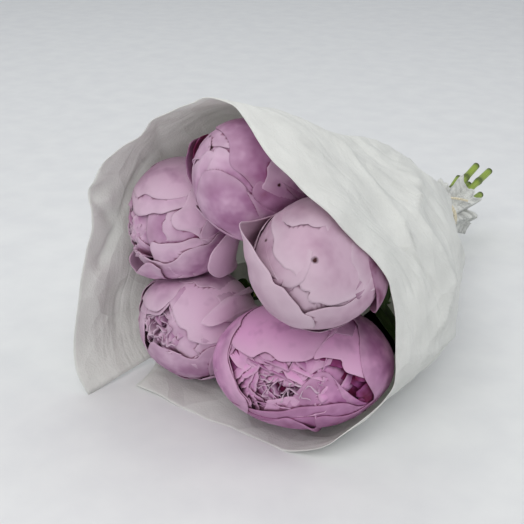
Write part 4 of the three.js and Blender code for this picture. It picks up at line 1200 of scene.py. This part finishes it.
# ---- stems, sepals and leaves --------------------------------------------------------
def catmull_rom(points, count):
    """Evenly spaced points on a centripetal Catmull-Rom curve."""
    p = [np.asarray(q, float) for q in points]
    p = [2 * p[0] - p[1], *p, 2 * p[-1] - p[-2]]
    dense = []
    for a, b, c, d in zip(p, p[1:], p[2:], p[3:]):
        t0, t1, t2 = (math.sqrt(np.linalg.norm(s - r)) for r, s in ((a, b), (b, c), (c, d)))
        start = ((b - a) / t0 - (c - a) / (t0 + t1) + (c - b) / t1) * t1
        end = ((c - b) / t1 - (d - b) / (t1 + t2) + (d - c) / t2) * t1
        t = np.linspace(0, 1, SPAN_POINTS, endpoint=False)[:, None]
        dense.append((2 * t**3 - 3 * t**2 + 1) * b + (t**3 - 2 * t**2 + t) * start
                     + (3 * t**2 - 2 * t**3) * c + (t**3 - t**2) * end)
    dense = np.concatenate([*dense, p[-2][None]])
    length = np.concatenate([[0], np.cumsum(np.linalg.norm(np.diff(dense, axis=0), axis=1))])
    at = np.linspace(0, length[-1], count)
    return np.stack([np.interp(at, length, dense[:, k]) for k in range(3)], -1), length[-1]


def tube(points, radii, sides):
    """A closed round bar: points, faces, and its share around and along at each point."""
    along = np.gradient(points, axis=0)
    along /= np.linalg.norm(along, axis=1)[:, None]
    u = np.cross(along, (0.31, 0.17, 0.94))
    u /= np.linalg.norm(u, axis=1)[:, None]
    v = np.cross(along, u)
    angle = np.linspace(0, 2 * np.pi, sides, endpoint=False)
    rings = (points[:, None] + radii[:, None, None] * (
        u[:, None] * np.cos(angle)[None, :, None] + v[:, None] * np.sin(angle)[None, :, None]))
    count = len(points)
    verts = np.concatenate([rings.reshape(-1, 3), points[:1], points[-1:]])
    # u x v runs against the bar, so rings are joined the other way round to face out.
    faces = [(d, c, b, a) for a, b, c, d in grid_faces(count, sides, loop=True)]
    first, last, base = count * sides, count * sides + 1, (count - 1) * sides
    for k in range(sides):
        n = (k + 1) % sides
        faces += [(first, n, k), (last, base + k, base + n)]
    around_share = np.concatenate([np.tile(np.abs(angle / np.pi - 1), count), [0.5, 0.5]])
    along_share = np.concatenate([np.repeat(np.linspace(0, 1, count), sides), [0, 1]])
    return verts, faces, around_share, along_share


def stem_route(bloom):
    """The receptacle's rim, the stem's route through the neck, and the leaf's tip and foot."""
    place, tip, leaf_tip, leaf_from = STEMS[bloom.name]
    base = bloom.centre - bloom.axis * (bloom.reach + RECEPTACLE_GAP)
    neck = NECK.copy()
    if place is not None:
        neck += STEM_PITCH * np.array((math.sin(math.radians(place)), 0, math.cos(math.radians(place))))
    tip = np.array(tip, float)
    before_neck = neck + (0, -40, 0)
    after_neck = neck + 0.3 * (tip - neck)
    after_neck[1] = neck[1] + 24
    route = [base, base - 26 * bloom.axis, base + 0.55 * (neck - base) - 14 * bloom.axis,
             before_neck + 0.06 * (base - before_neck), neck, after_neck, tip]
    return base, route, np.array(leaf_tip, float), leaf_from


def finish_green(kind, bloom, verts, faces, uv, cuts, material, thickness=0.0):
    """A green piece of this bloom, with how far it is cut at each point."""
    piece = new_object(kind + bloom.name, to_row(verts), faces)
    put_uv(piece.data, *uv)
    put_attribute(piece.data, "cut", cuts)
    piece.data.materials.append(material)
    if thickness:
        add_modifier(piece, "SOLIDIFY", thickness=thickness, offset=0)
        settle(piece)
    finish_piece(piece, "stem", "stem_" + bloom.name)


def make_stem(bloom, material):
    """A bloom's stem, with its receptacle."""
    base, route, _, _ = stem_route(bloom)
    points, length = catmull_rom(route, STEM_POINTS)
    share = np.linspace(0, 1, STEM_POINTS)
    radii = STEM_RADIUS * (0.98 + 0.04 * np.sin(share * 40))
    cut = np.zeros(STEM_POINTS)
    # Nodes swell where leaves were stripped off. The skin is dark at the last and at the cut.
    for at, swell in STEM_NODES:
        node = np.exp(-((share - at) * length / 4.0) ** 2)
        radii = radii * (1 + swell * node)
        cut = np.maximum(cut, 0.8 * node * (at > 0.9))
    cut = np.maximum(cut, smooth(share * length, length - 5, length - 1))
    stem = tube(points, radii, STEM_SIDES)
    cup = tube(np.array([base - d * bloom.axis for d in column(CUP, 0)]), np.array(column(CUP, 1)), CUP_SIDES)
    faces = stem[1] + [tuple(i + len(stem[0]) for i in f) for f in cup[1]]
    uv = (np.concatenate([stem[2], cup[2]]), np.concatenate([stem[3] * length / 40, cup[3] * 0.3]))
    cuts = np.concatenate([np.repeat(cut, STEM_SIDES), [0, 1], np.zeros(len(cup[0]))])
    finish_green("flower_stem_", bloom, np.concatenate([stem[0], cup[0]]), faces, uv, cuts, material)


def leaflet_grid(start, end, normal, half_width, seed):
    """Points of one leaflet."""
    random = np.random.default_rng(seed)
    phase = random.uniform(0, 2 * np.pi, 2)
    along = end - start
    across = np.cross(along, normal)
    across /= np.linalg.norm(across)
    lift = normal / np.linalg.norm(normal)
    u, v = shares(*LEAF_GRID)
    width = half_width * np.maximum(0.04, np.sin(np.pi * np.minimum(1, v * 0.92 + 0.07)) ** 0.8)
    # A crease along the midrib, side veins, and a slow wave along both edges.
    height = np.abs(u) ** 0.8 * width * 0.3 - 5 * v**2 + 0.25 * np.sin(26 * v - 9 * np.abs(u))
    height = height + 0.9 * np.abs(u) * np.sin(7 * v + phase[0] + (u > 0) * phase[1])
    return start + v[..., None] * along + (u * width)[..., None] * across + height[..., None] * lift


def make_leaf(bloom, settings, material):
    """The leaf of three leaflets, and the sepals under the bloom."""
    _, route, tip, leaf_from = stem_route(bloom)
    points, _ = catmull_rom(route, LEAF_PLACES)
    start = points[np.argmax(points[:, 1] >= leaf_from)]
    along = tip - start
    size = np.linalg.norm(along)
    normal = unit(np.array((0, 1, 0.35)) - 0.5 / size * along)
    fork = start + 0.38 * along
    spread = unit(np.cross(along, normal)) * size
    wide = settings.leaf_width / MM
    leaflets = ((1, 0, wide), (0.84, 0.26, 0.78 * wide), (0.84, -0.26, 0.78 * wide))
    blades = [leaflet_grid(fork, start + far * along + off * spread, normal, width, 31 + k)
              for k, (far, off, width) in enumerate(leaflets)]
    u, v = shares(*LEAF_GRID)
    side = u * 12 * (0.75 + 0.5 * v - 0.9 * v**3)
    off = SEPAL_OFFSET - 0.5 * (1 - u * u) * v
    for i in range(SEPALS):
        turn = SEPAL_TURN[bloom.name] + 360 / SEPALS * i
        blades.append(pressed(bloom.point(turn, 1 + 39 * v, side, off), bloom))
    faces = [face for k in range(len(blades)) for face in grid_faces(*LEAF_GRID, start=k * u.size * v.size)]
    uv = [np.tile(np.broadcast_to(share, LEAF_GRID).ravel(), len(blades)) for share in (np.abs(u), v)]
    finish_green("leaf_", bloom, np.array(blades), faces, uv, np.zeros(len(uv[0])), material, 0.5 * MM)
    stalk = tube(np.array([start, start + 0.19 * along, fork, fork + 0.06 * along]),
                 np.array((1.5, 1.4, 1.3, 1.0)), STALK_SIDES)
    finish_green("leaf_stalk_", bloom, stalk[0], stalk[1], stalk[2:], np.zeros(len(stalk[0])), material)


# ---- twine ---------------------------------------------------------------------------
def twine_tree():
    """Geometry Nodes: three twisted plies along a path."""
    tree, given = new_tree("twisted twine", "Twine", ("Path", "NodeSocketGeometry"),
                           ("Ply offset", "NodeSocketFloat", 0.0005),
                           ("Ply radius", "NodeSocketFloat", 0.0006),
                           ("Twist per metre", "NodeSocketFloat", TWIST_PER_METRE))
    curve = add_node(tree, "GeometryNodeMeshToCurve", [("Mesh", given["Path"])])
    even = add_node(tree, "GeometryNodeResampleCurve", [("Curve", curve.outputs[0]), ("Count", 260)])
    length = add_node(tree, "GeometryNodeSplineParameter").outputs["Length"]
    tilt = add_node(tree, "ShaderNodeMath", [(0, length), (1, given["Twist per metre"])],
                    operation="MULTIPLY")
    twisted = add_node(tree, "GeometryNodeSetCurveTilt",
                       [("Curve", even.outputs[0]), ("Tilt", tilt.outputs[0])])
    # Three plies side by side, as one profile.
    centres, ply = [add_node(tree, "GeometryNodeCurvePrimitiveCircle", [("Radius", given[size])],
                             Resolution=points) for size, points in (("Ply offset", 3), ("Ply radius", 8))]
    plies = add_node(tree, "GeometryNodeInstanceOnPoints",
                     [("Points", centres.outputs[0]), ("Instance", ply.outputs[0])])
    profile = add_node(tree, "GeometryNodeRealizeInstances", [("Geometry", plies.outputs[0])])
    swept = add_node(tree, "GeometryNodeCurveToMesh", [
        ("Curve", twisted.outputs[0]), ("Profile Curve", profile.outputs[0]), ("Fill Caps", True)])
    return end_tree(tree, given, "Twine", swept)


def make_twine(settings):
    """The winding round the neck, the knot on top of it and the two ends."""
    radius = settings.radius / MM
    winding = NECK_RADIUS + 0.3 + radius
    tree, material = twine_tree(), twine_material(settings.colour)
    t = np.linspace(0, 1, TURN_POINTS * settings.turns)
    angle = 2 * np.pi * settings.turns * t
    y = NECK[1] + (t - 0.5) * 2 * radius * TURNS_SPREAD
    ring = np.stack([NECK[0] + winding * np.sin(angle), y, NECK[2] + winding * np.cos(angle)], -1)
    top = NECK + (0, 0, winding + radius)
    paths = {"twine_turns": ring}
    for name, steps, scale, count in (
            ("twine_knot", KNOT, radius, KNOT_POINTS), ("twine_end_long", LONG_END, 1, END_POINTS),
            ("twine_end_short", SHORT_END, 1, END_POINTS)):
        paths[name] = catmull_rom([top + np.array(step) * scale for step in steps], count)[0]
    for name, path in paths.items():
        piece = new_object(name, to_row(path), [], [(k, k + 1) for k in range(len(path) - 1)])
        add_nodes_modifier(piece, tree, **{
            "Ply offset": radius * PLY_OFFSET * MM, "Ply radius": radius * PLY_RADIUS * MM,
            "Twist per metre": TWIST_PER_METRE, "Material": material})
        settle(piece)
        piece.data.polygons.foreach_set("use_smooth", [True] * len(piece.data.polygons))
        finish_piece(piece, "twine", "twine_tie")


# ---- operators -----------------------------------------------------------------------
class PEONY_OT_paper(bpy.types.Operator):
    """Rolls the creased paper."""

    bl_idname = "peony.paper"
    bl_label = "Paper roll"

    def execute(self, context):
        make_paper(context.scene.peony_paper)
        return {"FINISHED"}


class PEONY_OT_blooms(bpy.types.Operator):
    """Grows the petals of the five blooms."""

    bl_idname = "peony.blooms"
    bl_label = "Petals"

    def execute(self, context):
        settings = context.scene.peony_bloom
        # The pale colours of the deep mauve and mauve petals are set light partly so that high-tone petals
        # lying in their neighbours' shade come out brighter, which is partly painted light.
        front = petal_material("deep mauve peony petal", "#984684", settings.front, "#EEB0DE", "#741648",
                               "#E2BCD6", 0.22)
        others = petal_material("mauve peony petal", "#A0628F", settings.others, "#ECC6E2", "#7E1C50",
                                "#E8CEE0", 0.22, SPOTS["top"])
        right = petal_material("pale peony petal", "#A67C98", settings.right, "#D6B6CA", "#6E2A52",
                               "#E2CCDA", 0.22, SPOTS["right"])
        for bloom in BLOOMS.values():
            make_petals(bloom, settings, {"front": front, "right": right}.get(bloom.name, others))
        return {"FINISHED"}


class PEONY_OT_hearts(bpy.types.Operator):
    """Fills the openings with ruffled petals."""

    bl_idname = "peony.hearts"
    bl_label = "Ruffled hearts"

    def execute(self, context):
        settings = context.scene.peony_bloom
        material = petal_material("ruffled heart petal", "#96528A", settings.heart, "#DCBCD2", "#6A1A50",
                                  "#E6D2E0", 0.18)
        kinds = bpy.data.collections.new("ruffles")
        for index in range(RUFFLE_KINDS):
            kinds.objects.link(ruffle_shape(index, settings))
        tree = ruffle_tree()
        for name in HEARTS:
            make_heart(BLOOMS[name], tree, kinds, settings, material)
        for shape in list(kinds.objects):
            bpy.data.objects.remove(shape)
        bpy.data.collections.remove(kinds)
        return {"FINISHED"}


class PEONY_OT_stems(bpy.types.Operator):
    """Grows the stems, sepals and leaves."""

    bl_idname = "peony.stems"
    bl_label = "Stems and leaves"

    def execute(self, context):
        settings = context.scene.peony_stem
        skin = plant_material("waxy peony stem", "#6E8A2A", settings.skin, "#A9BC58", 0.08)
        blade = plant_material("peony leaf blade", "#2F4A1E", settings.blade, "#5E7E38", 0.20)
        for bloom in BLOOMS.values():
            make_stem(bloom, skin)
            make_leaf(bloom, settings, blade)
        return {"FINISHED"}


class PEONY_OT_twine(bpy.types.Operator):
    """Winds and knots the twine round the neck."""

    bl_idname = "peony.twine"
    bl_label = "Twine"

    def execute(self, context):
        make_twine(context.scene.peony_twine)
        return {"FINISHED"}


class PEONY_OT_stage(bpy.types.Operator):
    """Sets the table, the soft light and the camera."""

    bl_idname = "peony.stage"
    bl_label = "Stage"

    def execute(self, context):
        settings = context.scene.peony_stage
        mesh = bpy.data.meshes.new("tabletop")
        corners = [(x * TABLE_HALF, y * TABLE_HALF, 0) for x, y in ((-1, -1), (1, -1), (1, 1), (-1, 1))]
        mesh.from_pydata(corners, [], [(0, 1, 2, 3)])
        table = linked("tabletop", mesh)
        mesh.materials.append(table_material(settings.table))
        table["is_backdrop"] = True

        world = bpy.data.worlds.new("soft room light")
        context.scene.world = world
        world.use_nodes = True
        background = world.node_tree.nodes["Background"]
        background.inputs["Color"].default_value = rgba("#EEF1F5")
        background.inputs["Strength"].default_value = settings.light
        context.scene.view_settings.view_transform = "Standard"

        for name, at, size, power, colour in LAMPS:
            lamp = bpy.data.lights.new(name, "AREA")
            lamp.size = size
            lamp.energy = getattr(settings, power)
            lamp.color = linear(colour)
            holder = linked(name, lamp)
            holder.location = at
            holder.rotation_euler = (Vector(LAMP_AIM) - Vector(at)).to_track_quat("-Z", "Y").to_euler()

        data = bpy.data.cameras.new("camera")
        data.lens = CAMERA_LENS
        data.sensor_width = CAMERA_SENSOR
        camera = linked("camera", data)
        camera.location = CAMERA_AT
        camera.rotation_euler = Euler((math.radians(CAMERA_TILT), 0, math.radians(CAMERA_TURN)))
        context.scene.camera = camera
        return {"FINISHED"}


STEPS = (PEONY_OT_stage, PEONY_OT_paper, PEONY_OT_blooms, PEONY_OT_hearts, PEONY_OT_stems, PEONY_OT_twine)
GROUPS = {
    "peony_paper": PEONY_PG_paper,
    "peony_bloom": PEONY_PG_bloom,
    "peony_stem": PEONY_PG_stem,
    "peony_twine": PEONY_PG_twine,
    "peony_stage": PEONY_PG_stage,
}


class PEONY_PT_panel(bpy.types.Panel):
    """Lists the steps and their settings."""

    bl_label = "Bunch of peonies"
    bl_idname = "PEONY_PT_panel"
    bl_space_type = "VIEW_3D"
    bl_region_type = "UI"
    bl_category = "Peonies"

    def draw(self, context):
        for step in STEPS:
            self.layout.operator(step.bl_idname)
        for name, group in GROUPS.items():
            box = self.layout.box()
            for setting in group.__annotations__:
                box.prop(getattr(context.scene, name), setting)


def register():
    for made in (*GROUPS.values(), *STEPS, PEONY_PT_panel):
        bpy.utils.register_class(made)
    for name, group in GROUPS.items():
        setattr(bpy.types.Scene, name, bpy.props.PointerProperty(type=group))


def unregister():
    for name in GROUPS:
        delattr(bpy.types.Scene, name)
    for made in reversed((*GROUPS.values(), *STEPS, PEONY_PT_panel)):
        bpy.utils.unregister_class(made)


def main():
    register()
    for step in STEPS:
        group, name = step.bl_idname.split(".")
        getattr(getattr(bpy.ops, group), name)()
    boxes = {"cad": CAD_BOX, "visual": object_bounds()}
    {k: [[float(v) for v in corner] for corner in box] for k, box in boxes.items()}


if __name__ == "__main__":
    main()
